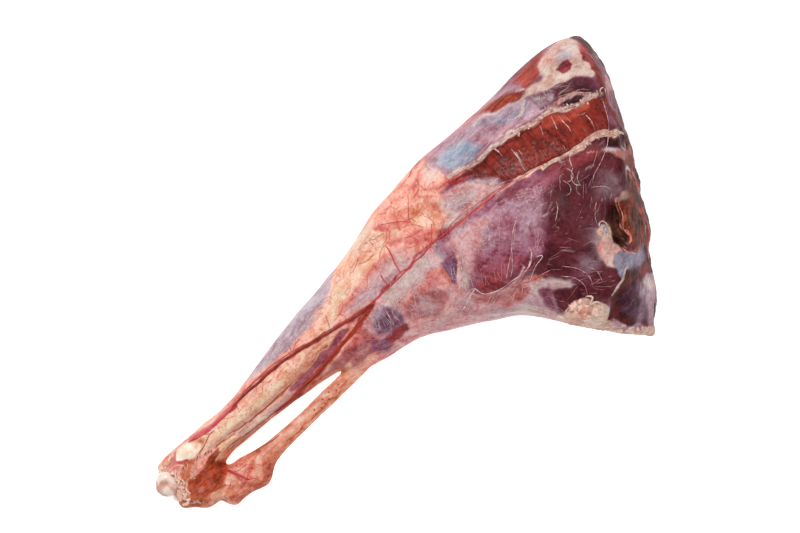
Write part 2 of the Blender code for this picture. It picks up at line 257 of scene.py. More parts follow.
def wetMeat(name):
    # Fresh beef under its own thin film of water: soft dye-deep colour, streaks of muscle fibre,
    # a clear wet coat that breaks into small glints where the fibres lift it
    made, tree = blankMaterial(name)
    spot = addNode(tree, "TexCoord", {}).outputs["Object"]
    mm = addNode(tree, "VectorMath", {0: spot, 1: (1000, 1000, 1000)}, operation="MULTIPLY").outputs[0]
    along = addNode(tree, "Attribute", {}, attribute_name="along").outputs["Fac"]
    across = addNode(tree, "Attribute", {}, attribute_name="across").outputs["Fac"]
    height = addNode(tree, "SeparateXYZ", {0: mm}).outputs["Z"]
    grain = addNode(tree, "CombineXYZ", {0: along, 1: across, 2: height}).outputs[0]

    # pattern sizes in mm: real fibre bundles are 1 to 2 mm across, and long
    noises = {}
    for what, spread, sizes, detail, uneven, twist in (
            ("fibre", grain, (30, 3.2, 3.2), 3, 0.5, 0.3), ("bundles", grain, (60, 11, 11), 3, 0.55, 0.5),
            ("blotch", mm, (17, 17, 17), 5, 0.6, 0.6), ("grit", mm, (3.2, 3.2, 3.2), 3, 0.6, 0.0),
            ("threads", grain, (48, 1.5, 1.5), 2, 0.5, 0.15), ("ripples", grain, (14, 5, 5), 2, 0.5, 0.5)):
        scaled = addNode(tree, "VectorMath", {0: spread, 1: tuple(1 / size for size in sizes)},
                         operation="MULTIPLY")
        noises[what] = addNode(tree, "TexNoise", {
            "Vector": scaled.outputs[0], "Scale": 1.0, "Detail": detail, "Roughness": uneven,
            "Distortion": twist}).outputs
    fibre, bundles = noises["fibre"]["Fac"], noises["bundles"]["Fac"]
    blotch = addNode(tree, "SeparateColor", {0: noises["blotch"]["Color"]}).outputs
    grit = addNode(tree, "SeparateColor", {0: noises["grit"]["Color"]}).outputs
    breakers = (blotch[0], grit[0], blotch[1], grit[1])

    # a tissue shows where its own amount, broken up by two of the noises, is above the others'
    colour, rough, total = None, None, None
    for index, (tissue, facts) in enumerate(tissues.items()):
        amount = addNode(tree, "Attribute", {}, attribute_name=tissue).outputs["Fac"]
        broken = addNode(tree, "Math", {0: breakers[index % 4], 1: 1.68, 2: 0.63},
                         operation="MULTIPLY_ADD").outputs[0]
        broken = addNode(tree, "Math", {0: breakers[(index + 1) % 4], 1: 1.05, 2: broken},
                         operation="MULTIPLY_ADD").outputs[0]
        weight = addNode(tree, "Math", {0: amount, 1: broken}, operation="MULTIPLY").outputs[0]
        weight = addNode(tree, "Math", {0: weight, 1: facts["crisp"]}, operation="POWER").outputs[0]
        streak = addNode(tree, "Math", {0: blotch[2], 1: 1 - facts["fibre"]},
                         operation="MULTIPLY").outputs[0]
        for noise, strength in (
                (fibre, facts["fibre"] * 0.45), (bundles, facts["fibre"] * 0.55), (grit[2], 0.35)):
            streak = addNode(tree, "Math", {0: noise, 1: strength, 2: streak},
                             operation="MULTIPLY_ADD").outputs[0]
        tone = addNode(tree, "MapRange", {0: streak, 1: 0.5, 2: 0.84, 3: 0.0, 4: 1.0},
                       interpolation_type="SMOOTHSTEP").outputs[0]
        here = addNode(tree, "Mix", {0: tone, 6: linear(facts["dark"]), 7: linear(facts["light"])},
                       data_type="RGBA").outputs[2]
        if colour is None:
            colour, rough = here, facts["rough"]
            total = addNode(tree, "Math", {0: weight, 1: 0.00001}, operation="ADD").outputs[0]
            continue
        total = addNode(tree, "Math", {0: total, 1: weight}, operation="ADD").outputs[0]
        share = addNode(tree, "Math", {0: weight, 1: total}, operation="DIVIDE").outputs[0]
        colour = addNode(tree, "Mix", {0: share, 6: colour, 7: here}, data_type="RGBA").outputs[2]
        rough = addNode(tree, "Mix", {0: share, 2: rough, 3: facts["rough"]}).outputs[0]

    # pale threads of connective tissue in the films over the muscle, lying along it
    thread = addNode(tree, "MapRange", {
        0: noises["threads"]["Fac"], 1: 0.63, 2: 0.72, 3: 0.0, 4: 0.7}).outputs[0]
    # hair-fine blood vessels, drawn about half a millimetre wide so that they show
    warped = addNode(tree, "VectorMath", {0: noises["blotch"]["Color"], 1: (14, 14, 14), 2: mm},
                     operation="MULTIPLY_ADD").outputs[0]
    cells = addNode(tree, "TexVoronoi", {"Vector": warped, "Scale": 1 / 13},
                    feature="DISTANCE_TO_EDGE").outputs
    vessel = addNode(tree, "MapRange", {0: cells["Distance"], 1: 0.012, 2: 0.04, 3: 1.0, 4: 0.0}).outputs[0]
    sparse = addNode(tree, "MapRange", {0: blotch[1], 1: 0.42, 2: 0.6, 3: 0.0, 4: 0.75}).outputs[0]
    lines = []
    for line, limit, attribute, tint in (
            (thread, blotch[0], "film", "#e6c8c6"), (vessel, sparse, "veined", "#a83a34")):
        where = addNode(tree, "Attribute", {}, attribute_name=attribute).outputs["Fac"]
        line = addNode(tree, "Math", {0: line, 1: where}, operation="MULTIPLY").outputs[0]
        line = addNode(tree, "Math", {0: line, 1: limit}, operation="MULTIPLY").outputs[0]
        colour = addNode(tree, "Mix", {0: line, 6: colour, 7: linear(tint)}, data_type="RGBA").outputs[2]
        lines.append(line)

    # wet meat is deeper in colour than the same meat dry
    colour = addNode(tree, "HueSaturation", {"Saturation": 1.06, "Value": 0.97, "Color": colour}).outputs[0]
    wet = addNode(tree, "Attribute", {}, attribute_name="wet").outputs["Fac"]
    rough = addNode(tree, "Math", {0: rough, 1: 0.05}, operation="SUBTRACT").outputs[0]
    rough = addNode(tree, "Math", {0: grit[0], 1: 0.22, 2: rough}, operation="MULTIPLY_ADD").outputs[0]
    relief = 0.0
    for noise, strength in ((noises["grit"]["Fac"], 0.55), (fibre, 0.6), (lines[0], 0.5),
                            (noises["ripples"]["Fac"], 1.5)):
        relief = addNode(tree, "Math", {0: noise, 1: strength, 2: relief},
                         operation="MULTIPLY_ADD").outputs[0]
    bump = addNode(tree, "Bump", {"Strength": 0.75, "Distance": 0.0007, "Height": relief})
    skin = addNode(tree, "BsdfPrincipled", {
        "Base Color": colour, "Roughness": rough, "IOR": 1.36, "Specular IOR Level": 0.05,
        "Normal": bump.outputs[0], "Coat Weight": wet, "Coat Roughness": 0.15, "Coat IOR": 1.33,
        "Coat Normal": bump.outputs[0]})
    addNode(tree, "OutputMaterial", {"Surface": skin.outputs[0]})
    return made


leg = dict(
    voxel=0.0022,  # m
    relaxRounds=26,  # smooths the solid's facets and the knife edges of the cut
    wander=2.2,  # how far a tissue's edge strays, mm
    dampness=0.03,  # weight of the wet coat on the sides
    wetness=0.3,  # added to it on top, less on the bared muscle
    sideBlur=40,  # rounds in which tissues run into each other, down the sides only
)

print("leg: even mesh")
meat = remeshedCopy("leg_meat", "beefLeg", leg["voxel"])
relax(meat.data, leg["relaxRounds"])
legPoints = toLeg(vertexArray(meat.data))

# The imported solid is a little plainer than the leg: small shifts of its sides, as place, radius and shift
nudges = (
    ((690, 62), 34, (8.5, -3)), ((672, 0), 28, (3, -1)), ((610, -150), 24, (-3.5, 1)),  # cut end
    ((82, -28), 15, (-9, 4)), ((96, -20), 12, (-1, 3)),  # end of the hanging gap
    ((14, -33), 11, (-7, -3)), ((30, -50), 13, (-2, -4)), ((56, -70), 8, (0, -3)),  # foot of the hock
    ((101, -72), 16, (1, -5)), ((17, 14), 10, (-6, 2.5)),
    ((240, -25), 12, (10, 0)),  # knee end of the gap
)
for (u, v), radius, shift in nudges:
    near = np.exp(-((legPoints[:, 0] - u) ** 2 + (legPoints[:, 1] - v) ** 2) / radius ** 2)
    legPoints[:, :2] += near[:, None] * shift
place(meat.data, fromLeg(legPoints))
normals = vertexArray(meat.data, "normal")
print("leg:", len(meat.data.vertices), "vertices,", len(meat.data.polygons), "faces")

# Where each tissue shows on the upper side, later rows over earlier ones: tissues (+ mixes them),
# softness of the edge in mm, share it covers, outline
upperSide = (
    ("mauve+maroon", 10, 1.0, ((400, 160), (760, 160), (760, -260), (400, -260))),
    ("pink+peach", 12, 1.0, ((-20, 90), (430, 150), (440, 40), (330, 20), (330, -80), (-20, -100))),
    ("pink+lilac", 10, 1.0, ((290, 20), (350, 24), (430, 28), (420, -40), (440, -60), (500, -90),
        (480, -140), (290, -90))),
    # shank
    ("lilac", 5, 1.0, ((110, 60), (140, 33), (200, 33), (239, 33), (271, 45), (299, 56), (311, 66),
        (320, 110), (200, 70))),
    ("blue+lilac", 4, 0.6, ((190, 50), (230, 44), (272, 52), (300, 66), (290, 80), (200, 60))),
    ("peach", 5, 1.0, ((60, 16), (110, 19), (200, 22), (245, 24), (267, 39), (306, 64), (330, 74),
        (345, 60), (319, 39), (287, 28), (262, 12), (218, -3), (184, -6), (127, -6), (73, -4), (56, 2))),
    # the ivory band along the shin is partly its pale cover and partly painted highlight along the bone's
    # top
    ("ivory+ivory+peach", 4, 0.9, ((66, 4), (75, 5), (100, 9), (150, 12), (210, 14), (262, 24), (306, 58),
        (318, 46), (290, 30), (255, 8), (200, 3), (150, 0), (80, -2))),
    ("orange+peach", 3, 0.9, ((150, -6), (165, -5), (186, -4), (195, -2), (210, 0), (225, 2), (240, 5),
        (255, 9), (263, 13), (262, 18), (250, 17), (240, 15), (225, 13), (210, 11), (195, 9), (180, 4),
        (165, 2), (150, 0))),
    ("mauve+fat+peach", 3, 0.9, ((150, -12), (165, -15), (186, -12), (186, -5), (165, -6), (150, -8))),
    ("blood+mauve+brown", 2.5, 0.95, ((186, -11), (195, -12), (210, -11), (225, -9), (240, -6), (255, -3),
        (270, 1), (280, 5), (285, 9), (276, 12), (268, 10), (255, 8), (240, 4), (225, 2), (210, 0),
        (195, -2), (186, -5))),
    ("ivory+fat", 3, 0.9, ((80, -6), (100, -8), (130, -10), (152, -12), (160, -19), (120, -22), (92, -24))),
    ("lilac+peach+ivory", 2.5, 0.85, ((115, -9), (134, -8), (146, -9), (150, -14), (136, -14), (117, -13))),
    ("orange+blood", 3, 0.8, ((112, -17), (127, -18), (160, -16), (220, -14), (246, -20), (200, -24),
        (110, -26))),
    ("mauve+fat+rust", 4, 0.95, ((222, -14), (240, -12), (262, -8), (282, -3), (296, 2), (304, -4),
        (302, -18), (296, -30), (276, -36), (256, -28), (238, -20))),
    ("pink+blood", 4, 0.5, ((268, -8), (284, -3), (296, 0), (296, -10), (280, -15), (268, -14))),
    ("lilac+lilac+pink", 4, 1.0, ((292, 25), (312, 35), (337, 42), (362, 46), (377, 42), (378, 27),
        (361, 22), (337, 19), (310, 17))),
    ("lilac+peach", 4, 1.0, ((378, 49), (393, 45), (404, 32), (394, 23), (376, 25))),
    ("pink+blood", 3, 0.6, ((286, 24), (300, 34), (330, 44), (366, 52), (378, 46), (360, 42), (330, 36),
        (306, 26))),
    # hock and heel
    ("pink+ivory", 4, 1.0, ((-10, 10), (14, 30), (60, 34), (60, 16), (40, 2), (34, -20), (20, -34),
        (-10, -30))),
    ("ivory+pink", 3, 0.8, ((8, 16), (20, 22), (26, 18), (22, 10), (8, 8))),
    ("pink+blood", 3, 0.8, ((20, 15), (30, 20), (42, 20), (42, 16), (35, 12), (34, 8), (37, 4), (31, -2),
        (25, -1), (21, 7))),
    ("pink+orange", 5, 1.0, ((66, -36), (76, -32), (96, -36), (112, -36), (128, -48), (128, -64),
        (100, -84), (60, -82), (54, -62), (56, -50))),
    ("peach+orange", 4, 1.0, ((110, -36), (140, -38), (260, -24), (262, -44), (150, -60), (128, -60),
        (116, -50))),
    ("blood+orange", 3, 0.85, ((34, 10), (40, 5), (45, 3), (53, -2), (50, -6), (45, -5), (43, -3), (40, 0),
        (35, 2), (33, 7))),
    ("orange+ivory", 3, 0.9, ((35, 0), (42, -2), (43, -7), (38, -13), (34, -20), (29, -17), (29, -9),
        (30, -4))),
    ("rust", 3, 1.0, ((34, -20), (49, -21), (60, -13), (74, -8), (80, -9), (76, -18), (78, -29), (73, -37),
        (64, -45), (53, -48), (43, -45), (30, -38), (22, -32), (25, -21))),
    ("orange+blood", 4, 0.75, ((28, -22), (36, -25), (41, -30), (38, -38), (31, -37), (24, -32))),
    # the dark mixed into these rust rows is painted shade in the gaps between the dried lumps
    ("rust+dark", 3, 0.85, ((62, -12), (70, -10), (78, -9), (75, -17), (74, -27), (71, -34), (68, -29),
        (63, -22), (58, -19))),
    ("rust+dark", 3, 0.8, ((43, -22), (49, -20), (53, -24), (47, -27), (40, -26), (33, -22), (35, -21))),
    ("rust+dark+brown", 3, 0.8, ((63, -27), (70, -34), (66, -41), (56, -45), (52, -42), (56, -33))),
    ("dark+rust", 2, 0.75, ((41, -21), (51, -22), (51, -27), (43, -28), (35, -24))),
    ("maroon+rust", 3, 0.8, ((49, -18), (56, -21), (59, -28), (54, -34), (48, -31), (47, -26))),
    ("pink+fat+rust", 2.5, 0.9, ((31, -28), (37, -26), (40, -32), (36, -37), (30, -35), (29, -31))),
    ("orange+rust", 3, 0.95, ((13, -31), (25, -32), (30, -38), (44, -43), (41, -48), (36, -55), (28, -60),
        (14, -54), (4, -42))),
    ("orange+ivory", 2.5, 0.9, ((44, -44), (52, -47), (57, -53), (52, -58), (42, -56), (38, -51))),
    ("orange+rust", 2, 0.95, ((41, 3), (48, 0), (50, -4), (44, -11), (36, -18), (30, -18), (26, -13),
        (28, -7), (33, -3))),
    ("scarlet+blood", 2, 0.9, ((33, 12), (39, 7), (44, 6), (46, 2), (39, 2), (33, 6), (31, 10))),
    ("pink+blood", 2.5, 0.8, ((22, 13), (34, 17), (33, 9), (35, 3), (33, -3), (27, -5), (26, 3), (20, 7))),
    ("pink+rust", 4, 0.7, ((46, -31), (54, -33), (54, -40), (45, -42), (41, -37))),
    ("orange+rust", 3, 0.95, ((4, -36), (28, -48), (37, -52), (43, -45), (30, -39), (19, -34), (11, -33))),
    ("orange+peach", 3, 0.9, ((43, -45), (55, -55), (53, -61), (45, -60), (26, -56), (28, -49), (37, -52))),
    ("orange+blood", 5, 0.9, ((67, -40), (80, -46), (87, -60), (94, -71), (103, -71), (95, -75), (72, -71),
        (61, -72), (54, -66), (56, -57), (56, -48))),
    ("orange+pink", 4, 0.8, ((55, -50), (71, -56), (83, -66), (66, -66), (57, -59))),
    ("orange+blood", 5, 0.8, ((108, -48), (128, -50), (130, -64), (114, -72), (100, -82), (78, -86),
        (58, -80), (62, -72), (84, -72), (99, -68), (106, -60))),
    ("ivory+pink", 2.5, 0.9, ((60, -48), (67, -43), (74, -43), (76, -51), (80, -55), (76, -57), (69, -52),
        (60, -53))),
    ("ivory+pink", 2.5, 0.95, ((80, -41), (88, -41), (97, -45), (93, -50), (86, -50), (81, -48))),
    ("ivory+pink", 3, 0.8, ((97, -51), (104, -47), (112, -51), (106, -61), (98, -63), (94, -58))),
    ("blood+pink", 2, 0.7, ((73, -37), (78, -42), (83, -52), (87, -60), (82, -59), (78, -51), (75, -43))),
    ("blood+orange", 3, 0.85, ((77, -28), (82, -30), (88, -37), (80, -38), (73, -36))),
    ("blood+orange", 3, 0.7, ((116, -54), (126, -57), (114, -67), (103, -71), (96, -72), (105, -64))),
    ("orange+blood", 2.5, 0.8, ((125, -48), (135, -52), (146, -52), (143, -56), (130, -59), (122, -59))),
    ("blood+orange", 3, 0.8, ((98, -40), (111, -38), (120, -42), (110, -50), (100, -46))),
    ("orange+rust", 2, 0.7, ((102, -42), (121, -40), (146, -40), (170, -38), (146, -38), (111, -36))),
    ("ivory+orange", 3, 0.8, ((83, -9), (94, -8), (106, -13), (112, -20), (96, -23), (84, -28), (76, -24),
        (72, -18))),
    ("orange+blood", 3, 0.7, ((87, -14), (106, -12), (119, -15), (124, -17), (108, -18), (94, -20),
        (84, -24), (78, -27), (76, -23))),
    ("orange+rust", 3, 0.9, ((84, -20), (96, -20), (112, -19), (130, -20), (110, -25), (94, -26),
        (82, -30))),
    ("gristle", 2.5, 1.0, ((34, 11), (42, 17), (51, 19), (61, 17), (65, 14), (69, 9), (67, 3), (59, 1),
        (51, 1), (40, 6))),
    ("ivory+orange", 2.5, 0.8, ((63, 17), (71, 14), (79, 7), (72, 2), (68, 4), (66, 8), (61, 12))),
    ("peach+ivory", 3, 0.8, ((56, 4), (64, 4), (66, 12), (58, 16))),
    ("orange+blood", 2, 0.7, ((64, 12), (69, 12), (74, 8), (71, 6), (68, 9))),
    # knee
    ("pink+peach", 8, 1.0, ((330, 90), (372, 108), (480, 116), (490, 80), (462, 66), (470, 46), (440, 30),
        (392, 28), (376, 50))),
    ("ivory+peach", 6, 0.9, ((306, 58), (330, 76), (380, 90), (386, 74), (378, 52), (340, 46), (318, 42))),
    ("fat+fat+ivory+peach", 7, 0.9, ((330, 74), (344, 92), (372, 100), (388, 92), (385, 82), (375, 75),
        (358, 69), (346, 66), (329, 68))),
    ("ivory+pink", 4, 0.8, ((392, 74), (410, 70), (414, 60), (400, 54), (388, 60))),
    ("orange+peach", 5, 0.6, ((326, 68), (340, 66), (358, 66), (376, 72), (366, 62), (348, 58), (328, 58))),
    ("lilac+ivory", 5, 0.6, ((462, 106), (490, 108), (486, 84), (466, 80), (456, 92))),
    ("pink+ivory", 6, 0.7, ((380, 104), (420, 112), (450, 108), (440, 92), (400, 88), (384, 94))),
    ("blood+pink", 4, 0.4, ((384, 86), (395, 76), (408, 70), (430, 62), (424, 56), (404, 62), (392, 62),
        (382, 72))),
    ("orange+pink", 3, 0.7, ((392, 84), (410, 82), (424, 74), (420, 70), (404, 76))),
    ("blood+pink", 2.5, 0.9, ((380, 84), (390, 81), (394, 74), (386, 72), (380, 78))),
    ("blood+pink", 2.5, 0.8, ((378, 58), (388, 57), (398, 54), (396, 49), (386, 49), (379, 53))),
    ("blood+pink", 4, 0.75, ((396, 48), (410, 54), (426, 44), (432, 32), (414, 32), (398, 40))),
    ("peach+ivory", 5, 0.8, ((421, 68), (430, 70), (441, 59), (441, 51), (434, 43), (428, 44), (419, 50),
        (418, 60))),
    ("orange+orange+peach", 4, 0.9, ((418, 66), (424, 72), (433, 73), (443, 66), (438, 59), (428, 56),
        (420, 58))),
    ("blood+orange", 4, 0.7, ((444, 68), (454, 62), (456, 50), (444, 38), (436, 40), (444, 50))),
    ("orange+peach", 4, 0.6, ((438, 52), (448, 49), (444, 38), (436, 33), (431, 42))),
    ("blood+pink", 4, 0.5, ((452, 76), (470, 78), (500, 72), (498, 66), (470, 66), (452, 68))),
    ("lilac+fat+ivory", 6, 0.85, ((459, 59), (470, 61), (483, 58), (505, 43), (492, 36), (479, 38),
        (465, 40), (455, 36), (450, 44), (454, 55))),
    ("blood+pink", 4, 0.7, ((378, 60), (390, 58), (399, 54), (396, 51), (387, 50), (380, 54))),
    ("ivory+fat+pink", 5, 0.9, ((384, 68), (399, 70), (405, 63), (398, 56), (385, 58))),
    ("lilac+pink+ivory", 6, 0.75, ((369, 46), (381, 47), (393, 43), (402, 35), (399, 28), (382, 25),
        (366, 28), (353, 29), (333, 28), (314, 30), (315, 35), (338, 41), (356, 46))),
    ("blood+rust", 4, 0.8, ((328, 15), (326, 10), (310, 4), (295, -1), (285, 6), (305, 13), (322, 16))),
    # under the knee
    ("lilac+ivory", 5, 0.75, ((340, 14), (352, 18), (370, 19), (392, 23), (410, 18), (410, 6), (392, 4),
        (366, 3), (346, -8), (338, 0))),
    ("indigo+lilac", 7, 0.95, ((316, 4), (332, 6), (340, -4), (348, -14), (346, -24), (336, -30),
        (320, -26), (306, -18), (309, -6))),
    ("indigo", 4, 0.7, ((314, -6), (326, -4), (342, -16), (340, -26), (322, -24), (308, -18))),
    ("blood+maroon", 3, 1.0, ((304, -28), (316, -25), (330, -24), (343, -29), (343, -37), (331, -39),
        (318, -36), (306, -33))),
    ("indigo+mauve", 5, 0.9, ((298, -18), (312, -28), (319, -38), (304, -40), (290, -28))),
    ("orange+pink", 9, 0.45, ((352, -8), (370, 2), (391, 5), (405, 0), (408, -8), (411, -24), (400, -16),
        (375, -6), (364, -12), (352, -26), (348, -16))),
    ("rust+pink", 5, 0.3, ((398, 2), (406, -2), (411, -22), (405, -20), (400, -8))),
    ("mauve+fat+rust", 5, 0.9, ((370, -6), (393, -12), (402, -28), (397, -37), (380, -42), (362, -36),
        (360, -20))),
    ("orange+mauve", 8, 0.5, ((350, -10), (360, -14), (364, -34), (354, -36), (346, -22))),
    ("indigo+lilac", 3, 0.95, ((414, 15), (420, 20), (427, 17), (427, 8), (417, 6))),
    ("indigo+mauve", 6, 0.95, ((423, 5), (432, 6), (438, -2), (432, -15), (416, -29), (410, -22), (410, -6),
        (414, 2))),
    ("indigo", 4, 0.7, ((422, 5), (430, 1), (435, -6), (428, -15), (415, -22), (414, -12), (414, -2))),
    ("blood+orange", 2.5, 0.8, ((410, 1), (412, -7), (412, -17), (410, -26), (407, -22), (406, -13))),
    ("mauve+rust", 6, 0.6, ((356, -8), (367, -9), (359, -23), (350, -27), (349, -19))),
    ("mauve+fat", 6, 0.6, ((372, -11), (382, -24), (383, -35), (369, -37), (362, -29))),
    ("indigo+mauve", 4, 0.8, ((332, 3), (339, 0), (341, -9), (344, -19), (342, -26), (330, -19),
        (327, -7))),
    ("lilac+fat+lilac+pink", 6, 0.9, ((352, -44), (396, -46), (424, -50), (440, -64), (490, -96),
        (480, -124), (440, -110), (360, -80))),
    ("mauve+pink", 6, 0.25, ((360, -48), (392, -54), (430, -66), (440, -84), (400, -76), (366, -60))),
    # front of the thigh
    ("pink+mauve", 6, 0.9, ((462, 118), (540, 124), (590, 118), (560, 108), (500, 110), (474, 106))),
    ("lilac+mauve", 5, 1.0, ((472, 108), (500, 112), (530, 108), (560, 108), (600, 104), (616, 86),
        (608, 68), (575, 74), (520, 76), (482, 74))),
    ("blue", 7, 0.95, ((488, 100), (501, 99), (520, 95), (531, 83), (535, 79), (516, 76), (498, 76),
        (490, 80), (482, 92))),
    ("blue+lilac+mauve", 3, 0.9, ((524, 104), (545, 105), (575, 97), (608, 90), (606, 86), (575, 90),
        (545, 97), (526, 98))),
    ("mauve+lilac+blue", 3, 0.8, ((536, 98), (555, 96), (587, 88), (600, 84), (580, 85), (552, 90),
        (534, 94))),
    ("blue+indigo", 3, 0.8, ((552, 93), (573, 88), (598, 84), (608, 88), (604, 80), (590, 78), (566, 82))),
    ("lilac+mauve+pink", 4, 0.8, ((524, 88), (548, 81), (575, 78), (606, 74), (610, 68), (575, 72),
        (545, 74), (530, 80))),
    ("maroon+indigo", 3.5, 0.95, ((608, 90), (620, 84), (637, 80), (653, 75), (667, 69), (677, 61),
        (680, 50), (671, 48), (661, 53), (652, 62), (641, 65), (630, 66), (619, 68), (610, 74))),
    ("lilac", 4, 0.5, ((612, 86), (634, 80), (640, 70), (620, 68), (610, 76))),
    ("maroon", 3, 0.8, ((635, 78), (652, 74), (666, 68), (675, 59), (673, 51), (659, 58), (645, 66),
        (633, 68))),
    ("muscle+rust", 2.5, 0.95, ((541, 108), (558, 110), (570, 110), (586, 108), (599, 103), (611, 96),
        (606, 92), (591, 96), (574, 100), (557, 103))),
    ("lilac+mauve", 2.5, 0.95, ((562, 112), (568, 117), (581, 117), (597, 115), (609, 111), (615, 103),
        (613, 98), (599, 105), (586, 110), (572, 112))),
    ("muscle+scarlet", 3, 1.0, ((606, 114), (615, 117), (627, 119), (639, 121), (660, 124), (653, 113),
        (644, 106), (637, 100), (622, 100), (613, 97), (609, 104))),
    ("scarlet+blood", 2.5, 0.8, ((608, 110), (620, 106), (622, 100), (613, 98), (608, 104))),
    ("fat+ivory+lilac", 2.5, 1.0, ((634, 94), (640, 108), (654, 116), (670, 122), (690, 118), (699, 107),
        (694, 92), (688, 80), (686, 66), (682, 62), (674, 77), (661, 85), (645, 90))),
    ("lilac+blue+fat", 5, 0.8, ((661, 106), (672, 109), (678, 100), (670, 95), (661, 98))),
    ("pink+fat", 4, 0.5, ((640, 106), (656, 116), (672, 121), (690, 117), (684, 112), (664, 112),
        (648, 100))),
    ("fat+fat+ivory+lilac", 3, 1.0, ((613, 96), (621, 97), (635, 95), (653, 92), (663, 85), (672, 79),
        (683, 72), (686, 65), (680, 61), (674, 66), (662, 74), (646, 80), (630, 85), (618, 87), (610, 88),
        (609, 92))),
    ("blood+maroon", 1.5, 1.0, ((654, 94), (662, 99), (669, 96), (669, 88), (664, 85), (656, 88))),
    ("blood+maroon+fat", 3, 0.8, ((670, 85), (674, 85), (679, 80), (675, 78), (669, 83))),
    ("blood+muscle", 2.5, 1.0, ((700, 122), (712, 120), (712, 66), (694, 60), (687, 66), (688, 79),
        (697, 91), (700, 107))),
    ("blood+scarlet", 2.5, 1.0, ((696, 109), (706, 106), (701, 92), (694, 81), (690, 83), (686, 85),
        (686, 95), (690, 102))),
    ("blood+brown", 2.5, 0.95, ((685, 90), (695, 93), (698, 84), (693, 78), (686, 80))),
    ("blood+rust", 2, 0.9, ((691, 81), (692, 73), (687, 65), (684, 70), (687, 77))),
    ("lilac+maroon", 2.5, 0.8, ((696, 74), (698, 67), (693, 52), (688, 52), (686, 62))),
    # the bared red muscle and the pale films beside it
    ("muscle", 2.5, 1.0, ((482, 70), (511, 67), (545, 69), (577, 66), (604, 62), (633, 51), (660, 48),
        (672, 44), (671, 34), (665, 16), (656, 1), (630, 9), (612, 10), (595, 14), (578, 15), (553, 23),
        (530, 30), (518, 46), (502, 57))),
    # partly painted highlight: a brighter red along the top of the bared muscle, partly its wetter red
    ("scarlet+muscle", 4, 0.75, ((540, 68), (566, 67), (600, 61), (640, 48), (668, 45), (667, 32),
        (640, 36), (612, 46), (594, 50), (567, 53), (542, 57))),
    ("muscle+maroon", 3, 0.85, ((542, 60), (552, 52), (552, 26), (534, 30), (532, 44))),
    # painted shade: a dark slit along the seam
    ("dark+maroon", 2, 1.0, ((633, 63), (644, 61), (653, 58), (662, 51), (660, 48), (652, 47), (644, 50),
        (635, 58))),
    # partly painted highlight along the top edge of the bared muscle, partly its wetter red
    ("scarlet", 4, 0.6, ((588, 62), (604, 62), (620, 53), (632, 50), (650, 46), (662, 45), (667, 42),
        (658, 37), (645, 40), (630, 44), (617, 46), (600, 52))),
    ("muscle", 3, 0.7, ((663, 44), (671, 39), (662, 26), (653, 29), (655, 38))),
    ("maroon+muscle", 4, 0.9, ((652, 30), (665, 20), (659, 9), (650, 3), (643, 11), (628, 18), (630, 24),
        (643, 22))),
    ("lilac+fat", 5, 0.95, ((468, 58), (488, 58), (506, 52), (523, 40), (511, 36), (491, 38), (466, 42),
        (458, 50))),
    ("pink+fat+lilac", 4, 0.95, ((470, 62), (486, 60), (504, 50), (526, 30), (506, 27), (450, 28),
        (450, 38), (486, 36), (500, 40), (486, 50), (468, 50), (460, 62))),
    ("fat+ivory+lilac", 4, 0.9, ((440, 36), (458, 38), (470, 33), (458, 29), (444, 30))),
    ("blood", 2, 0.9, ((480, 70), (492, 64), (504, 57), (496, 57), (484, 61), (476, 68))),
    # inside of the thigh
    ("mauve", 8, 1.0, ((424, 22), (470, 24), (560, 20), (590, 8), (572, -30), (530, -62), (500, -62),
        (440, -60), (426, -50), (432, -20))),
    # the pale lilac over the middle of this muscle is partly its silverskin and partly painted sheen
    ("lilac+mauve", 12, 0.95, ((446, 14), (520, 16), (552, -2), (556, -24), (530, -42), (500, -36),
        (462, -16))),
    ("lilac+ivory", 6, 0.7, ((449, 23), (465, 19), (486, 16), (473, 3), (451, -5), (435, -26), (420, -40),
        (411, -34), (426, -21), (436, -6), (442, 8))),
    ("mauve+blood", 8, 0.5, ((478, 8), (506, 10), (520, -10), (500, -30), (480, -20))),
    ("lilac+pink", 8, 0.75, ((430, 18), (470, 20), (496, 12), (470, -6), (444, -30), (430, -40),
        (434, -8))),
    ("blood+mauve", 7, 0.9, ((440, -34), (452, -24), (474, -32), (498, -46), (504, -58), (474, -65),
        (441, -60))),
    ("maroon", 5, 0.7, ((444, -50), (470, -54), (500, -50), (500, -60), (474, -65), (443, -60))),
    ("maroon+mauve", 8, 0.8, ((528, 22), (570, 16), (600, 6), (600, -10), (566, -2), (530, 14))),
    ("maroon", 9, 1.0, ((566, 14), (600, 12), (668, 0), (662, -60), (606, -60), (596, -100), (566, -136),
        (530, -150), (508, -116), (520, -84), (548, -52), (566, -20))),
    ("blood+maroon", 6, 0.7, ((576, 14), (610, 10), (640, 2), (640, -6), (600, -6), (574, 2))),
    ("blood+maroon", 5, 0.8, ((592, 11), (609, 5), (626, -2), (638, -14), (624, -14), (602, -3), (587, 4))),
    ("indigo+lilac", 8, 0.4, ((596, -26), (626, -24), (638, -43), (631, -57), (612, -62), (592, -49))),
    ("indigo+maroon", 8, 0.6, ((560, -60), (590, -64), (584, -100), (556, -90))),
    # painted sheen: a light lilac wash on the film
    ("lilac+mauve", 6, 0.25, ((604, -44), (628, -34), (640, -42), (626, -58), (610, -60))),
    ("lilac+fat", 6, 0.6, ((562, -76), (578, -70), (578, -100), (560, -104))),
    ("maroon+mauve", 8, 0.7, ((500, -66), (546, -54), (556, -90), (530, -120), (512, -104))),
    ("lilac+fat+lilac+pink", 7, 0.95, ((410, -52), (443, -66), (474, -71), (498, -76), (500, -96),
        (478, -126), (440, -104))),
    ("fat+lilac", 5, 0.95, ((470, -82), (485, -80), (506, -88), (522, -102), (514, -108), (492, -100),
        (478, -96))),
    ("rust+pink", 2.5, 0.9, ((474, -72), (482, -74), (494, -78), (500, -86), (486, -80))),
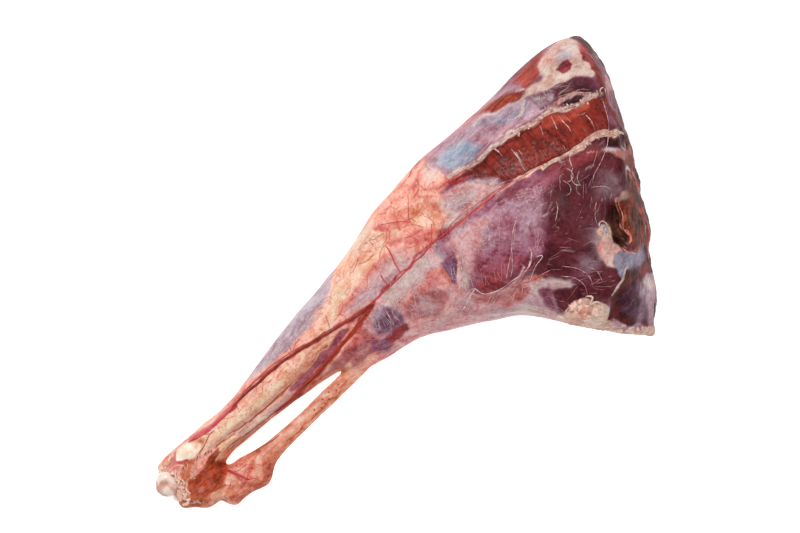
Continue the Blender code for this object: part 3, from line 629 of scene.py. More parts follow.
    ("maroon+blood+mauve", 6, 0.9, ((501, 22), (525, 23), (545, 19), (568, 14), (588, 7), (581, -6),
        (566, -9), (554, -11), (544, 0), (532, 2), (522, 10), (506, 12))),
    ("maroon+blood+mauve", 8, 0.8, ((455, -9), (463, -11), (465, -26), (478, -37), (484, -47), (498, -50),
        (498, -58), (488, -62), (466, -61), (445, -62), (430, -51), (415, -46), (431, -31), (443, -19))),
    ("maroon+blood", 5, 0.7, ((453, -43), (462, -49), (461, -58), (447, -64), (430, -51), (430, -43))),
    ("mauve+pink+maroon", 6, 0.8, ((424, -50), (443, -65), (464, -68), (474, -72), (479, -83), (461, -88),
        (448, -84), (427, -68), (415, -55))),
    ("lilac+ivory", 7, 0.9, ((428, -76), (464, -97), (486, -121), (488, -131), (469, -121), (451, -102),
        (430, -89))),
    ("maroon", 12, 1.0, ((552, -8), (538, -32), (514, -58), (496, -66), (503, -84), (522, -97), (559, -62),
        (577, -26), (576, -6))),
    ("indigo+lilac", 9, 0.6, ((547, -86), (559, -92), (561, -111), (552, -117), (538, -110), (537, -95))),
    ("mauve+maroon", 4, 0.9, ((484, -91), (494, -95), (499, -104), (497, -120), (489, -128), (481, -119),
        (479, -105))),
    ("lilac+mauve", 3, 0.7, ((495, -99), (499, -104), (492, -127), (484, -123))),
    ("maroon", 4, 0.9, ((496, -104), (510, -106), (514, -120), (500, -132), (490, -129), (492, -114))),
    ("lilac+pink", 4, 0.9, ((470, -112), (478, -112), (488, -128), (480, -134))),
    ("fat", 2.5, 1.0, ((484, -129), (507, -124), (522, -128), (529, -143), (532, -157), (526, -163),
        (509, -156), (491, -142))),
    ("pink+ivory", 3, 0.7, ((492, -131), (510, -130), (518, -140), (506, -148), (494, -140))),
    ("fat", 2.5, 1.0, ((484, -136), (512, -156), (528, -166), (540, -186), (562, -204), (570, -214),
        (560, -226), (500, -184), (474, -146))),
    # the cut end as it shows from above
    # the dark in this mix is painted shade on the cut end
    ("cut+cut+dark+blood", 2.5, 1.0, ((526, -163), (541, -149), (554, -138), (576, -134), (606, -141),
        (618, -148), (606, -170), (586, -214), (562, -204), (540, -185))),
    ("cut+indigo", 4, 0.8, ((540, -168), (556, -148), (580, -150), (590, -170), (572, -194), (556, -190))),
    ("blood+cut", 3, 0.75, ((572, -138), (604, -143), (610, -150), (596, -156), (576, -150))),
    ("ivory+fat", 3, 1.0, ((573, -78), (584, -73), (596, -82), (594, -92), (586, -96), (574, -92))),
    # painted shade: the near-black hollow beside the flap
    ("dark+brown", 2, 1.0, ((605, -62), (615, -63), (612, -71), (608, -84), (601, -93), (600, -107),
        (595, -112), (589, -108), (585, -99), (588, -91), (594, -82), (598, -72))),
    ("brown+muscle", 3, 1.0, ((616, -64), (656, -64), (654, -86), (640, -124), (618, -142), (596, -124),
        (596, -110), (602, -98), (610, -80))),
    ("brown+cut", 4, 0.9, ((624, -74), (652, -70), (648, -96), (634, -124), (612, -128), (606, -104))),
    ("brown+rust", 3, 0.8, ((614, -122), (622, -124), (622, -138), (606, -138), (607, -129))),
    ("fat+ivory", 2, 1.0, ((658, 1), (665, 0), (671, -4), (671, -10), (668, -14), (664, -8), (657, -4))),
    # painted shade: a near-black hollow at the end of the seam
    ("dark+cut", 2.5, 1.0, ((650, -1), (656, -4), (669, -15), (664, -23), (658, -26), (654, -18),
        (644, -12))),
    ("fat+lilac+blue", 2.5, 0.9, ((637, -5), (645, -11), (653, -19), (658, -29), (656, -32), (649, -25),
        (640, -14))),
    ("orange+mauve+brown", 2.5, 0.95, ((642, -17), (652, -26), (658, -31), (660, -43), (658, -49),
        (653, -45), (652, -33), (648, -25))),
    ("blood+scarlet", 2.5, 1.0, ((648, -44), (655, -46), (659, -50), (654, -63), (645, -81), (640, -90),
        (641, -82), (645, -69), (643, -64), (638, -57), (636, -54), (640, -48))),
    ("maroon+cut", 2, 0.9, ((632, -49), (640, -52), (648, -61), (642, -65), (635, -65), (630, -57))),
    ("scarlet+rust", 1.8, 1.0, ((626, -71), (633, -66), (644, -63), (648, -68), (640, -73), (630, -76),
        (622, -79))),
    ("brown+fat", 2, 0.95, ((623, -58), (629, -61), (631, -67), (624, -73), (619, -71), (618, -64))),
    ("rust+brown", 1.5, 0.9, ((619, -72), (626, -77), (616, -86), (610, -94), (608, -108), (603, -107),
        (603, -95), (611, -85))),
    ("fat+lilac+peach", 3, 0.95, ((571, -87), (581, -92), (588, -104), (588, -113), (582, -111),
        (574, -109), (570, -117), (567, -128), (562, -115), (562, -102), (565, -93))),
    ("blood+pink", 2, 0.8, ((571, -86), (572, -92), (565, -99), (563, -95), (567, -89))),
    ("blue+indigo", 2, 1.0, ((574, -108), (582, -110), (588, -115), (592, -122), (600, -130), (606, -139),
        (595, -136), (583, -134), (574, -133), (567, -137), (562, -137), (566, -128), (570, -117))),
    ("lilac+blue", 2, 0.8, ((584, -75), (590, -80), (585, -87), (578, -88), (579, -80))),
    ("lilac+mauve", 4, 0.8, ((587, -161), (594, -164), (585, -183), (568, -206), (558, -201), (573, -184),
        (580, -169))),
    ("lilac+indigo+maroon", 4, 0.8, ((580, -151), (589, -160), (583, -171), (568, -182), (556, -192),
        (549, -191), (567, -173), (572, -159))),
    ("lilac+blue", 3, 0.7, ((579, -158), (585, -164), (582, -169), (575, -164))),
    ("maroon+cut+brown", 2.5, 0.95, ((575, -134), (591, -137), (605, -141), (604, -152), (594, -161),
        (589, -158), (583, -147), (576, -139))),
    ("lilac+mauve", 2.5, 0.8, ((530, -166), (534, -174), (541, -185), (553, -197), (551, -202), (540, -192),
        (530, -181))),
)

# Seams and edges that both the colours and the raised pieces follow
upperSeam = ((484, 74), (500, 71), (519, 69), (542, 68.5), (558, 69.5), (571, 69), (583, 66), (596, 63.5),
        (604, 63.5), (616, 61.5), (625, 58.5), (633, 54.5), (642, 50.5), (650, 47), (661, 47.5),
        (669, 47.5), (673, 46))
kneeSeam = ((506, 26), (528, 25), (544, 24), (562, 22), (578, 16))
lowerSeam = ((572, 16), (583, 16), (594, 13), (606, 11), (622, 10), (638, 8), (647, 5), (654, 1))
filmEdge = ((590, -109), (591, -116), (594, -123), (600, -129), (606, -136))
blockEdge = ((606, -140), (592, -136), (583, -134), (576, -133), (569, -135), (564, -137), (555, -141),
        (545, -147))
flapRim = ((618, -61), (613, -72), (609, -84), (601, -94), (601, -103), (603, -108), (597, -109))

# Lines of tissue on the upper side: tissues, half width, share it covers, path
upperLines = (
    ("ivory+peach", 2.4, 0.9, ((69, 23), (90, 22), (110, 23), (135, 26))),
    ("blood", 5, 1.0, ((64, 19), (77, 18), (92, 16), (104, 16), (117, 18), (129, 19))),
    ("ivory+pink", 1.8, 0.9, ((64, -6), (58, -4), (52, -6), (46, -9), (41, -13), (38, -18))),
    ("rust+blood+pink", 4, 0.9, ((462, 104), (457, 97), (450, 92), (443, 88))),
    ("blood+pink", 2.6, 0.9, ((450, 78), (464, 71), (474, 70), (484, 70), (497, 66), (510, 64))),
    ("ivory+orange", 1.8, 0.8, ((70, -19), (81, -15), (92, -14), (104, -15), (120, -16))),
    ("orange+rust", 1.6, 0.8, ((79, -6), (92, -7), (106, -7), (128, -7), (146, -7), (162, -5), (180, -3),
        (195, -1), (210, 1), (225, 4), (240, 6), (255, 10))),
    # painted shade: a darker orange-rust line along the tendon's rounded edge
    ("orange+rust", 2, 0.9, ((112, -56), (122, -53), (132, -52.5), (150, -52), (175, -49), (200, -46.5),
        (225, -43), (248, -40))),
    # painted highlight: a pale line along the middle of the round tendon
    ("fat+ivory+pink", 3.6, 1.0, ((104, -49), (118, -47), (130, -44.5), (150, -45), (175, -42.5),
        (200, -40), (225, -37), (246, -35))),
    ("blood+blood+pink", 3.4, 1.0, ((100, 20), (124, 21), (163, 24.5), (200, 26), (220, 24), (234, 20),
        (250, 18), (270, 17), (303, 14.5), (327, 13))),
    ("blood", 2.5, 0.7, ((327, 15), (353, 17), (393, 22), (420, 26), (449, 25))),
    ("blood+pink", 2.5, 0.7, ((449, 25), (491, 25), (528, 26), (556, 21))),
    ("rust+blood", 3, 0.9, ((158, -16), (180, -16), (195, -13), (210, -12), (225, -11), (240, -7.5),
        (255, -5), (270, -1.5), (285, 0.5), (300, 5.5), (312, 8), (324, 12))),
    ("ivory+fat+lilac", 4.4, 0.95, upperSeam[:7]),
    ("fat+ivory+lilac", 4.4, 0.95, upperSeam[6:]),
    ("fat+lilac", 2.4, 0.7, ((606, 70), (618, 66), (628, 62), (634, 64), (644, 62), (652, 61), (661, 53),
        (668, 48))),
    ("pink+fat", 1.6, 0.8, ((619, 68), (630, 65), (644, 65), (654, 62), (662, 53))),
    ("ivory+lilac", 1.5, 0.8, ((541, 109), (558, 112), (570, 113), (585, 110), (599, 105), (613, 98))),
    ("ivory+lilac", 1.7, 0.85, ((538, 106), (556, 102), (569, 99), (582, 96), (596, 92), (610, 90))),
    ("lilac+ivory", 1.5, 0.7, ((608, 90), (601, 84), (590, 80), (572, 84))),
    ("pink+ivory", 2.2, 0.8, kneeSeam),
    ("fat+ivory", 2.6, 0.95, lowerSeam[:4]),
    ("fat+fat+pink", 4.6, 1.0, lowerSeam[3:]),
    ("rust+pink", 1.6, 0.7, ((620, 2), (634, -8), (644, -16))),
    # painted shadow: a thin dark line under the upper seam
    ("cut", 1.8, 0.6, ((488, 66), (520, 63.5), (545, 64), (562, 63), (580, 60), (600, 57))),
    ("ivory+lilac+pink", 3, 0.85, ((433, 0), (425, -20), (414, -32), (396, -44), (372, -48), (340, -48))),
    ("fat+pink", 1.6, 0.9, filmEdge),
    ("lilac+ivory", 1.3, 0.9, blockEdge),
    ("fat+pink", 1.5, 0.9, flapRim),
    ("lilac+pink", 2, 0.8, ((413, -44), (422, -45), (430, -54), (443, -62), (457, -67), (474, -67),
        (488, -62))),
    # painted shade: a dark line across the flap
    ("dark", 1.5, 1.0, ((625, -96), (624, -104), (621, -113), (618, -123))),
)

upper = legPoints.copy()
down = ease(0.7, 0.15, normals[:, 2])
for axis, seed, sideStray in ((0, 1, 12), (1, 2, 4)):
    upper[:, axis] += lumps(legPoints, 13, seed) * leg["wander"]
    upper[:, axis] += lumps(legPoints, 5, seed + 2) * leg["wander"] * 0.25
    upper[:, axis] += lumps(legPoints, 34, seed + 6, 2) * down * sideStray
plan = upper[:, :2]
names = list(tissues)
amounts = np.zeros((len(legPoints), len(names)))
swell = np.zeros(len(legPoints))


def cover(words, share):
    # lays tissue over what is there, by that share
    amounts[:] = amounts * (1 - share[:, None])
    for word in words.split("+"):
        amounts[:, names.index(word)] += share / len(words.split("+"))


print("leg: tissues")
for words, soft, strength, outline in upperSide:
    inside = insideBy(plan, outline)
    cover(words, ease(-soft, soft, inside) * strength)
    rise = np.mean([tissues[word]["bulge"] for word in words.split("+")])
    swell += ease(-2, 5, inside) * (rise * strength - swell * 0.8)
for words, half, strength, path in upperLines:
    cover(words, ease(half, half * 0.3, pathDistance(plan, path)) * strength)

# down the sides the tissues run into each other
ends = edgeEnds(meat.data)
for _ in range(leg["sideBlur"]):
    amounts += (neighbourMean(ends, amounts) - amounts) * down[:, None] * 0.9

cutEnd = dict(
    seams=0.85,  # how much fat shows between the cut muscles
    marbling=0.3,
    rise=2.2,  # mm that each cut muscle stands out past its seams
)

# The cut wall of the thigh, one row a muscle: tissues, place across, height, half sizes
cutFaces = (
    ("brown+maroon", 84, 30, 40, 40), ("maroon+muscle", 20, 34, 46, 50), ("brown+cut", -52, 26, 34, 40),
    ("maroon+brown", -104, 40, 30, 50), ("muscle+maroon+cut", -170, 34, 40, 48),
    ("maroon+muscle", 96, 100, 24, 50), ("brown+maroon+cut", 46, 112, 44, 40),
    ("brown+muscle", -22, 96, 34, 46), ("brown", -88, 118, 40, 36),
    ("maroon+indigo+cut", -156, 100, 44, 42), ("brown+maroon", 4, 140, 22, 24),
)
wall = upper[:, 1:] + np.column_stack((lumps(legPoints, 30, 81, 2), lumps(legPoints, 30, 82, 2))) * 5
reaches = np.array([np.hypot((wall[:, 0] - v) / a, (wall[:, 1] - w) / b) for _, v, w, a, b in cutFaces])
nearest = reaches.argmin(axis=0)
reaches.sort(axis=0)
seam = ease(0.13, 0.02, reaches[1] - reaches[0] + lumps(legPoints, 18, 83, 2) * 0.1)
wedge = ease(0.2, 0.08, reaches[2] - reaches[0])
facing = ease(0.42, 0.68, normals[:, 0]) * ease(cutStart - 5, cutStart + 25, legPoints[:, 0])
steep = facing * ease(0.42, 0.2, normals[:, 2])
for index, face in enumerate(cutFaces):
    cover(face[0], steep * (nearest == index))
marbling = lumps(legPoints * (1, 0.6, 1), 8, 84, 2)
cover("cut", steep * ease(0.1, 0.6, lumps(legPoints, 15, 85, 2)) * 0.6)
cutFat = np.maximum(seam * cutEnd["seams"], ease(0.06, 0.0, np.abs(marbling)) * cutEnd["marbling"])
cover("fat+lilac", steep * cutFat)
cover("fat+ivory", steep * wedge * 0.9)

# What shows of the cut edge from above: tissues, softness, share, outline
cutEdge = (
    ("cut+brown+scarlet", 2.5, 0.95, ((699, 89), (700, 83), (696, 67), (687, 47), (687, 32), (681, 19),
        (673, 7), (671, -7), (666, -19), (660, -35), (659, -26), (669, -5), (670, 14), (673, 26), (673, 37),
        (673, 45), (681, 52), (686, 66))),
    ("mauve+mauve+maroon", 4, 0.85, ((700, 89), (703, 81), (706, 71), (703, 57), (697, 36), (690, 17),
        (685, 5), (679, -12), (670, -31), (660, -51), (655, -49), (662, -29), (669, -11), (674, 6),
        (681, 22), (687, 41), (694, 57), (697, 70), (698, 81))),
    ("lilac+pink", 2.5, 0.85, ((702, 66), (697, 52), (692, 36), (686, 20), (692, 18), (700, 36), (706, 50),
        (708, 64))),
    ("blood+pink", 3, 0.95, ((688, 122), (716, 122), (716, 88), (703, 92), (700, 107))),
    ("orange+mauve+brown", 2.5, 0.9, ((643, -17), (653, -22), (657, -34), (652, -37), (645, -28))),
    ("fat+cut", 2, 0.9, ((674, 45), (678, 48), (682, 45), (683, 40), (679, 38), (674, 40))),
    ("brown+muscle", 3, 0.95, ((606, -112), (620, -106), (634, -122), (622, -140), (612, -143), (605, -138),
        (601, -126))),
    ("scarlet+blood", 2.5, 1.0, ((642, -49), (651, -47), (662, -46), (664, -66), (656, -84), (640, -108),
        (626, -132), (614, -139), (617, -128), (626, -110), (634, -93), (644, -74), (647, -63),
        (643, -54))),
    ("fat+rust", 2, 0.9, ((613, -124), (620, -128), (614, -140), (606, -138), (608, -129))),
    ("maroon+cut+blood", 2.5, 0.9, ((590, -137), (604, -141), (608, -152), (598, -158), (589, -156))),
    ("lilac+mauve", 5, 0.95, ((590, -153), (606, -158), (598, -183), (580, -212), (568, -207), (578, -188),
        (584, -172), (586, -160))),
    # painted sheen: a pale lilac-white patch on the film over the cut block
    ("lilac+ivory", 5, 0.8, ((588, -155), (602, -158), (600, -172), (588, -172))),
)
edgeHeight = legPoints[:, 2] + lumps(legPoints, 14, 87, 2) * 14
fromAbove = ease(0.03, 0.32, normals[:, 2]) * ease(46, 72, edgeHeight)
for words, soft, strength, outline in cutEdge:
    cover(words, ease(-soft, soft, insideBy(plan, outline)) * strength * fromAbove)
nearCut = ease(cutStart, cutStart + 30, legPoints[:, 0])
rimOfCut = ease(0.16, 0.36, normals[:, 0]) * ease(0.62, 0.46, normals[:, 0]) * nearCut
cover("fat+blood", rimOfCut * ease(0.3, 0.05, normals[:, 2]) * 0.4)

# The side it lies on, which the photo doesn't show: a fat cover that thins out over the muscles
thin = lumps(legPoints, 46, 9, 2)
under = ease(0.12, -0.5, normals[:, 2] + thin * 0.3)
cover("fat+lilac", under * (1 - steep))
cover("muscle+mauve", under * (1 - steep) * ease(0.05, 0.75, thin) * 0.8)
cover("peach+pink", under * ease(380, 240, legPoints[:, 0] + thin * 40) * 0.8)
amounts /= amounts.sum(1, keepdims=True)

print("leg: relief")
grainPoints = legPoints * (0.18, 1, 1)
# the bared muscle's fibres run across the leg
crossGrain = ((482, 70), (511, 67), (577, 66), (604, 64), (672, 46), (670, 28), (664, 2), (620, 13),
        (537, 27), (522, 31), (500, 52))
turned = (insideBy(plan, crossGrain) > 0) & (normals[:, 2] > 0)
grainPoints[turned] = legPoints[turned][:, (1, 0, 2)] * (0.18, 1, 1)
lift = np.zeros(len(legPoints))
for index, facts in enumerate(tissues.values()):
    patch = lumps(legPoints, facts["size"], 20 + index, 2) * (1 - facts["fibre"])
    streak = lumps(grainPoints, facts["size"] * 0.8, 40 + index, 2) * facts["fibre"]
    lift += amounts[:, index] * facts["lift"] * (patch + streak)
lift += lumps(legPoints, 34, 60, 2) * 0.8
lift += swell * ease(0, 0.3, normals[:, 2])
# cut muscles stand out a little between their seams
torn = lumps(legPoints, 6, 86, 2) * 0.5
lift += steep * (cutEnd["rise"] * ease(1.0, 0.4, reaches[0]) + torn - 0.6 * seam)
onFloor = ease(2, 9, legPoints[:, 2])
legPoints += normals * (lift * onFloor)[:, None]
legPoints[:, 2] = np.maximum(legPoints[:, 2], 0)
place(meat.data, fromLeg(legPoints))

# Streaks follow the leg: across is measured from its middle line, in shares of its breadth
sections = np.arange(30, 550, 15)
bands = [legPoints[np.abs(legPoints[:, 0] - s) < 8, 1] for s in sections]
tendonTop = np.interp(sections, (0, 90, 250, 330, 340), (-30, -26, -26, -60, -300))
fronts = np.array([band.max() for band in bands])
backs = np.array([band[band > limit].min() for band, limit in zip(bands, tendonTop)])
front = np.interp(legPoints[:, 0], sections, fronts)
back = np.interp(legPoints[:, 0], sections, backs)
across = (legPoints[:, 1] - (front + back) / 2) / (front - back)
along = legPoints[:, 0] + lumps(legPoints, 40, 71) * 6
across = across * 110 + lumps(legPoints, 30, 72) * 3
along[turned] = -legPoints[turned, 1]
across[turned] = legPoints[turned, 0] + lumps(legPoints, 30, 73)[turned] * 4
measure(meat.data, "along", along)
measure(meat.data, "across", across)
# the tissues that are films with threads in them, and those with hair-fine vessels, by how much
filmShares = {"lilac": 1, "mauve": 1, "blue": 0.8, "indigo": 0.8, "maroon": 0.6, "pink": 0.5}
veinedShares = {"pink": 1, "peach": 0.7, "ivory": 0.3, "mauve": 0.15}
film = amounts @ np.array([filmShares.get(name, 0) for name in names])
veined = amounts @ np.array([veinedShares.get(name, 0) for name in names])
measure(meat.data, "film", film)
wetness = ease(0.35, 0.8, normals[:, 2]) * np.where(turned, 0.4, 1)
measure(meat.data, "wet", leg["dampness"] + leg["wetness"] * wetness)
u, v, _ = legPoints.T
onTendon = ease(-22, -30, v) * ease(104, 124, u) * ease(268, 250, u)
measure(meat.data, "veined", veined * ease(0.0, 0.3, normals[:, 2]) * (1 - onTendon * 0.8))
for index, name in enumerate(names):
    measure(meat.data, name, amounts[:, index])

finishPiece(meat, wetMeat("wetBeef"))
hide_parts("leg_meat")

# The joint's end: wet cartilage, blue-white where it is whole and pink where the bone shows through
knob = dict(
    voxel=0.0012,  # m
    swell=1.28,  # its membranes make it rounder than the bone
    lift=1.1,  # height of its lumps, mm
)
print("joint bone")
bone = remeshedCopy("hock_bone", "jointEnd", knob["voxel"])
relax(bone.data, 8)
bonePoints = toLeg(vertexArray(bone.data))
boneMiddle = (bonePoints.min(0) + bonePoints.max(0)) / 2
bonePoints = boneMiddle + (bonePoints - boneMiddle) * (knob["swell"], knob["swell"], 1.1) + (0, -1, 0)
boneNormals = vertexArray(bone.data, "normal")
hollow = np.linalg.norm((bonePoints - boneMiddle - (1, -1, 0))[:, :2], axis=1)
boneLift = lumps(bonePoints, 9, 5, 2) * knob["lift"] - 2.2 * ease(4, 1.5, hollow)
bonePoints += boneNormals * boneLift[:, None]
bonePoints[:, 2] = np.maximum(bonePoints[:, 2], 0)
place(bone.data, fromLeg(bonePoints))
redness = ease(8, 2, hollow) * 0.8 + ease(-0.3, 0.5, lumps(bonePoints, 8, 12, 2)) * 0.7
measure(bone.data, "tone", 1 - np.clip(redness, 0, 1))

# What the small pieces lie on
surface = BVHTree.FromPolygons([Vector(p) for p in legPoints],
                               [tuple(p.vertices) for p in meat.data.polygons])


def onSurface(plan):
    # the leg's top and its normal under each place, in mm
    places, tilts = [], []
    for u, v in plan:
        hit, tilt, _, _ = surface.ray_cast(Vector((u, v, 400)), Vector((0, 0, -1)))
        if hit is None:
            hit, tilt, _, _ = surface.find_nearest(Vector((u, v, 40)))
        places.append(hit)
        tilts.append(tilt)
    return np.array(places), np.array(tilts)


def newCluster():
    return {"points": [], "faces": [], "tone": []}


def unit(vectors):
    return vectors / np.maximum(np.linalg.norm(vectors, axis=-1, keepdims=True), 1e-9)


def addTube(cluster, line, tilts, halfWidths, halfHeights, tone, sides=6):
    # a closed tube along the line, wider than it is high, with rounded ends
    count = len(line)
    run = unit(np.gradient(line, axis=0))
    side = unit(np.cross(tilts, run))
    rise = np.cross(run, side)
    start = len(cluster["points"])
    for turn in range(sides):
        angle = 2 * math.pi * turn / sides
        ring = (line + side * (halfWidths * math.cos(angle))[:, None]
                + rise * (halfHeights * math.sin(angle))[:, None])
        cluster["points"].extend(ring)
        cluster["tone"].extend(tone)
    for turn in range(sides):
        here, there = start + turn * count, start + (turn + 1) % sides * count
        for i in range(count - 1):
            cluster["faces"].append((here + i, here + i + 1, there + i + 1, there + i))
    for end in (0, count - 1):
        ring = [start + turn * count + end for turn in range(sides)]
        cluster["faces"].append(ring if end == 0 else ring[::-1])


def addStrand(cluster, path, width, ends=(0.35, 0.35), height=0.5, sink=0.25, wander=0.0, bead=0.0,
        tone=0.5, toneSpan=0.2, step=2.0, sides=6, seed=0):
    # a strand of the given width that follows the surface: it tapers to its ends and may wander or bead
    plan = smoothPath(path, step)
    chance = np.random.default_rng(seed)
    share = np.linspace(0, 1, len(plan))
    if wander:
        drift = np.cumsum(chance.normal(0, 1, (len(plan), 2)), axis=0)
        drift -= np.outer(1 - share, drift[0]) + np.outer(share, drift[-1])
        plan = plan + drift * wander * 0.25
    line, tilts = onSurface(plan)
    jump = np.abs(np.diff(line[:, 2])) > 3 * step
    off = np.linalg.norm(line[:, :2] - plan, axis=1) > 0.5
    stop = np.flatnonzero(np.append(jump, False) | off)
    if len(stop):  # it ends where the meat under it ends
        line, tilts = line[:stop[0]], tilts[:stop[0]]
    count = len(line)
    if count < 4:
        return
    share = np.linspace(0, 1, count)
    for _ in range(4):
        line[1:-1] = (line[:-2] + line[2:]) * 0.25 + line[1:-1] * 0.5
        tilts[1:-1] = unit(tilts[:-2] + tilts[2:] + tilts[1:-1])
    taper = np.minimum(1, np.minimum(ends[0] + share * 9, ends[1] + (1 - share) * 9))
    beads = max(3, count // 2)
    swell = 1 + bead * np.interp(share, np.linspace(0, 1, beads), chance.uniform(-1, 1, beads))
    half = width / 2 * taper * swell
    high = half * height * 2
    line = line + tilts * (high * (1 - 2 * sink))[:, None]
    tones = np.clip(tone + toneSpan * chance.uniform(-1, 1, count), 0, 1)
    addTube(cluster, line, tilts, half, high, tones, sides)


ballMaker = bmesh.new()
bmesh.ops.create_icosphere(ballMaker, subdivisions=2, radius=1)
ballPoints = np.array([v.co[:] for v in ballMaker.verts])
ballFaces = [tuple(v.index for v in f.verts) for f in ballMaker.faces]
ballMaker.free()


def addCrumb(cluster, centre, tilt, sizes, spin, seed, tone=0.5, rough=0.35):
    # a lumpy crumb lying flat against the surface
    side = unit(np.cross(tilt, (math.cos(spin), math.sin(spin), 0.1)))
    run = np.cross(side, tilt)
    shape = ballPoints * (1 + rough * lumps(ballPoints * 10 + seed * 31.7, 7, seed % 17, 2))[:, None]
    start = len(cluster["points"])
    cluster["points"].extend(centre + shape[:, :1] * run * sizes[0] + shape[:, 1:2] * side * sizes[1]
                             + shape[:, 2:] * tilt * sizes[2])
    # each crumb is painted lighter on top and darker underneath: painted light and shade
    cluster["tone"].extend(np.clip(tone + 0.25 * ballPoints[:, 2], 0, 1))
    cluster["faces"].extend(tuple(start + i for i in face) for face in ballFaces)


def spotsInside(outline, count, tries, chance):
    # random places inside an outline
    corners = np.array(outline, float)
    spots = chance.uniform(corners.min(0), corners.max(0), (count * tries, 2))
    return spots[insideBy(spots, outline) > 0][:count]


def scatterCrumbs(cluster, outline, count, sizes, seed, tone=0.5, toneSpan=0.3, flat=0.55, lift=0.0,
        rough=0.35):
    # crumbs all over an outline
    chance = np.random.default_rng(seed)
    places, tilts = onSurface(spotsInside(outline, count, 6, chance))
    for i, (spot, tilt) in enumerate(zip(places, tilts)):
        size = chance.uniform(*sizes)
        shape = np.array((size * chance.uniform(1, 1.7), size, size * flat))
        addCrumb(cluster, spot + tilt * size * lift, tilt, shape, chance.uniform(0, math.pi), seed + i,
                 np.clip(tone + toneSpan * chance.uniform(-1, 1), 0, 1), rough)


def crumbLine(cluster, path, halfBand, spacing, sizes, seed, tone=0.5, toneSpan=0.3, flat=0.6, rough=0.4,
        lift=0.1):
    # crumbs close together along a path
    chance = np.random.default_rng(seed)
    plan = smoothPath(path, spacing)
    run = unit(np.gradient(plan, axis=0))
    plan = plan + np.column_stack((-run[:, 1], run[:, 0])) * chance.normal(0, halfBand / 2, (len(plan), 1))
    places, tilts = onSurface(plan)
    for i, (spot, tilt) in enumerate(zip(places, tilts)):
        size = chance.uniform(*sizes)
        spin = math.atan2(run[i, 1], run[i, 0]) + math.pi / 2 + chance.normal(0, 0.5)
        shape = (size * chance.uniform(1, 2), size, size * flat)
        addCrumb(cluster, spot + tilt * size * lift, tilt, shape, spin, seed + i,
                 np.clip(tone + toneSpan * chance.uniform(-1, 1), 0, 1), rough)


def buildCluster(name, cluster, material):
    # the cluster as one visible piece
    mesh = bpy.data.meshes.new(name)
    mesh.from_pydata([tuple(p) for p in fromLeg(np.array(cluster["points"]))], [], cluster["faces"])
    mesh.validate()
    shaper = bmesh.new()
    shaper.from_mesh(mesh)
    bmesh.ops.recalc_face_normals(shaper, faces=shaper.faces)
    shaper.to_mesh(mesh)
    shaper.free()
    made = newObject(name, mesh)
    measure(mesh, "tone", np.array(cluster["tone"]))
    finishPiece(made, material)
    print(name + ":", len(mesh.polygons), "faces")


def wetTissue(name, dark, light, rough, grainSize, bump=0.4, coat=0.25, flecks=0.45):
    # the finish of a small wet piece: its tone from the mesh, blotches of grainSize mm, and a wet coat
    made, tree = blankMaterial(name)
    spot = addNode(tree, "TexCoord", {}).outputs["Object"]
    blotch = addNode(tree, "TexNoise", {"Vector": spot, "Scale": 1000 / grainSize, "Detail": 4.0})
    fine = addNode(tree, "TexNoise", {"Vector": spot, "Scale": 1000 / 0.9, "Detail": 2.0})
    tone = addNode(tree, "Attribute", {}, attribute_name="tone").outputs["Fac"]
    mixed = addNode(tree, "Math", {0: blotch.outputs["Fac"], 1: flecks * 2, 2: tone},
                    operation="MULTIPLY_ADD").outputs[0]
    share = addNode(tree, "MapRange", {0: mixed, 1: flecks, 2: flecks + 1, 3: 0.0, 4: 1.0}).outputs[0]
    colour = addNode(tree, "Mix", {0: share, 6: linear(dark), 7: linear(light)},
                     data_type="RGBA").outputs[2]
    gloss = addNode(tree, "MapRange", {
        0: fine.outputs["Fac"], 1: 0.3, 2: 0.7, 3: rough - 0.08, 4: rough + 0.12}).outputs[0]
    relief = addNode(tree, "Bump", {"Strength": bump, "Distance": 0.0004, "Height": fine.outputs["Fac"]})
    skin = addNode(tree, "BsdfPrincipled", {
        "Base Color": colour, "Roughness": gloss, "IOR": 1.38, "Normal": relief.outputs[0],
        "Coat Weight": coat, "Coat Roughness": 0.15, "Coat IOR": 1.33})
    addNode(tree, "OutputMaterial", {"Surface": skin.outputs[0]})
    return made


# Blood vessels keep their dark blood and a paler wall that shines along the top
vesselWall = wetTissue("vesselWall", "#b82a3a", "#de706a", 0.3, 6, coat=0.15)
# The big ones that lay open to the air have dried to brown-red cords
driedVessel = wetTissue("driedVessel", "#7c1e14", "#b8432e", 0.34, 4, coat=0.12)
# Sinew and fascia are collagen: near white, drawn out in threads
whiteSinew = wetTissue("whiteSinew", "#a5696c", "#efdcd4", 0.36, 6, coat=0.3, flecks=0.7)
thinFascia = wetTissue("thinFascia", "#a46c72", "#dcc4c2", 0.36, 8, coat=0.2, flecks=0.8)
# Beef fat is cream, waxy and crumbly where it was cut
softFat = wetTissue("softFat", "#a0665a", "#e3c4b4", 0.44, 4, bump=0.6, coat=0.12, flecks=0.7)
pinkFat = wetTissue("pinkFat", "#c4705e", "#efc9b6", 0.42, 3, bump=0.6, coat=0.15)
# Torn edges dry out to a brown, leathery rim
driedRim = wetTissue("driedRim", "#7a3024", "#d29c88", 0.38, 3)

vessels = dict(  # widths in mm
    mainWidth=3.8,  # along the front of the shank
    shankWidth=3.6,  # of the pair behind it
    thighWidth=1.7,
    branchWidth=1.1,
)

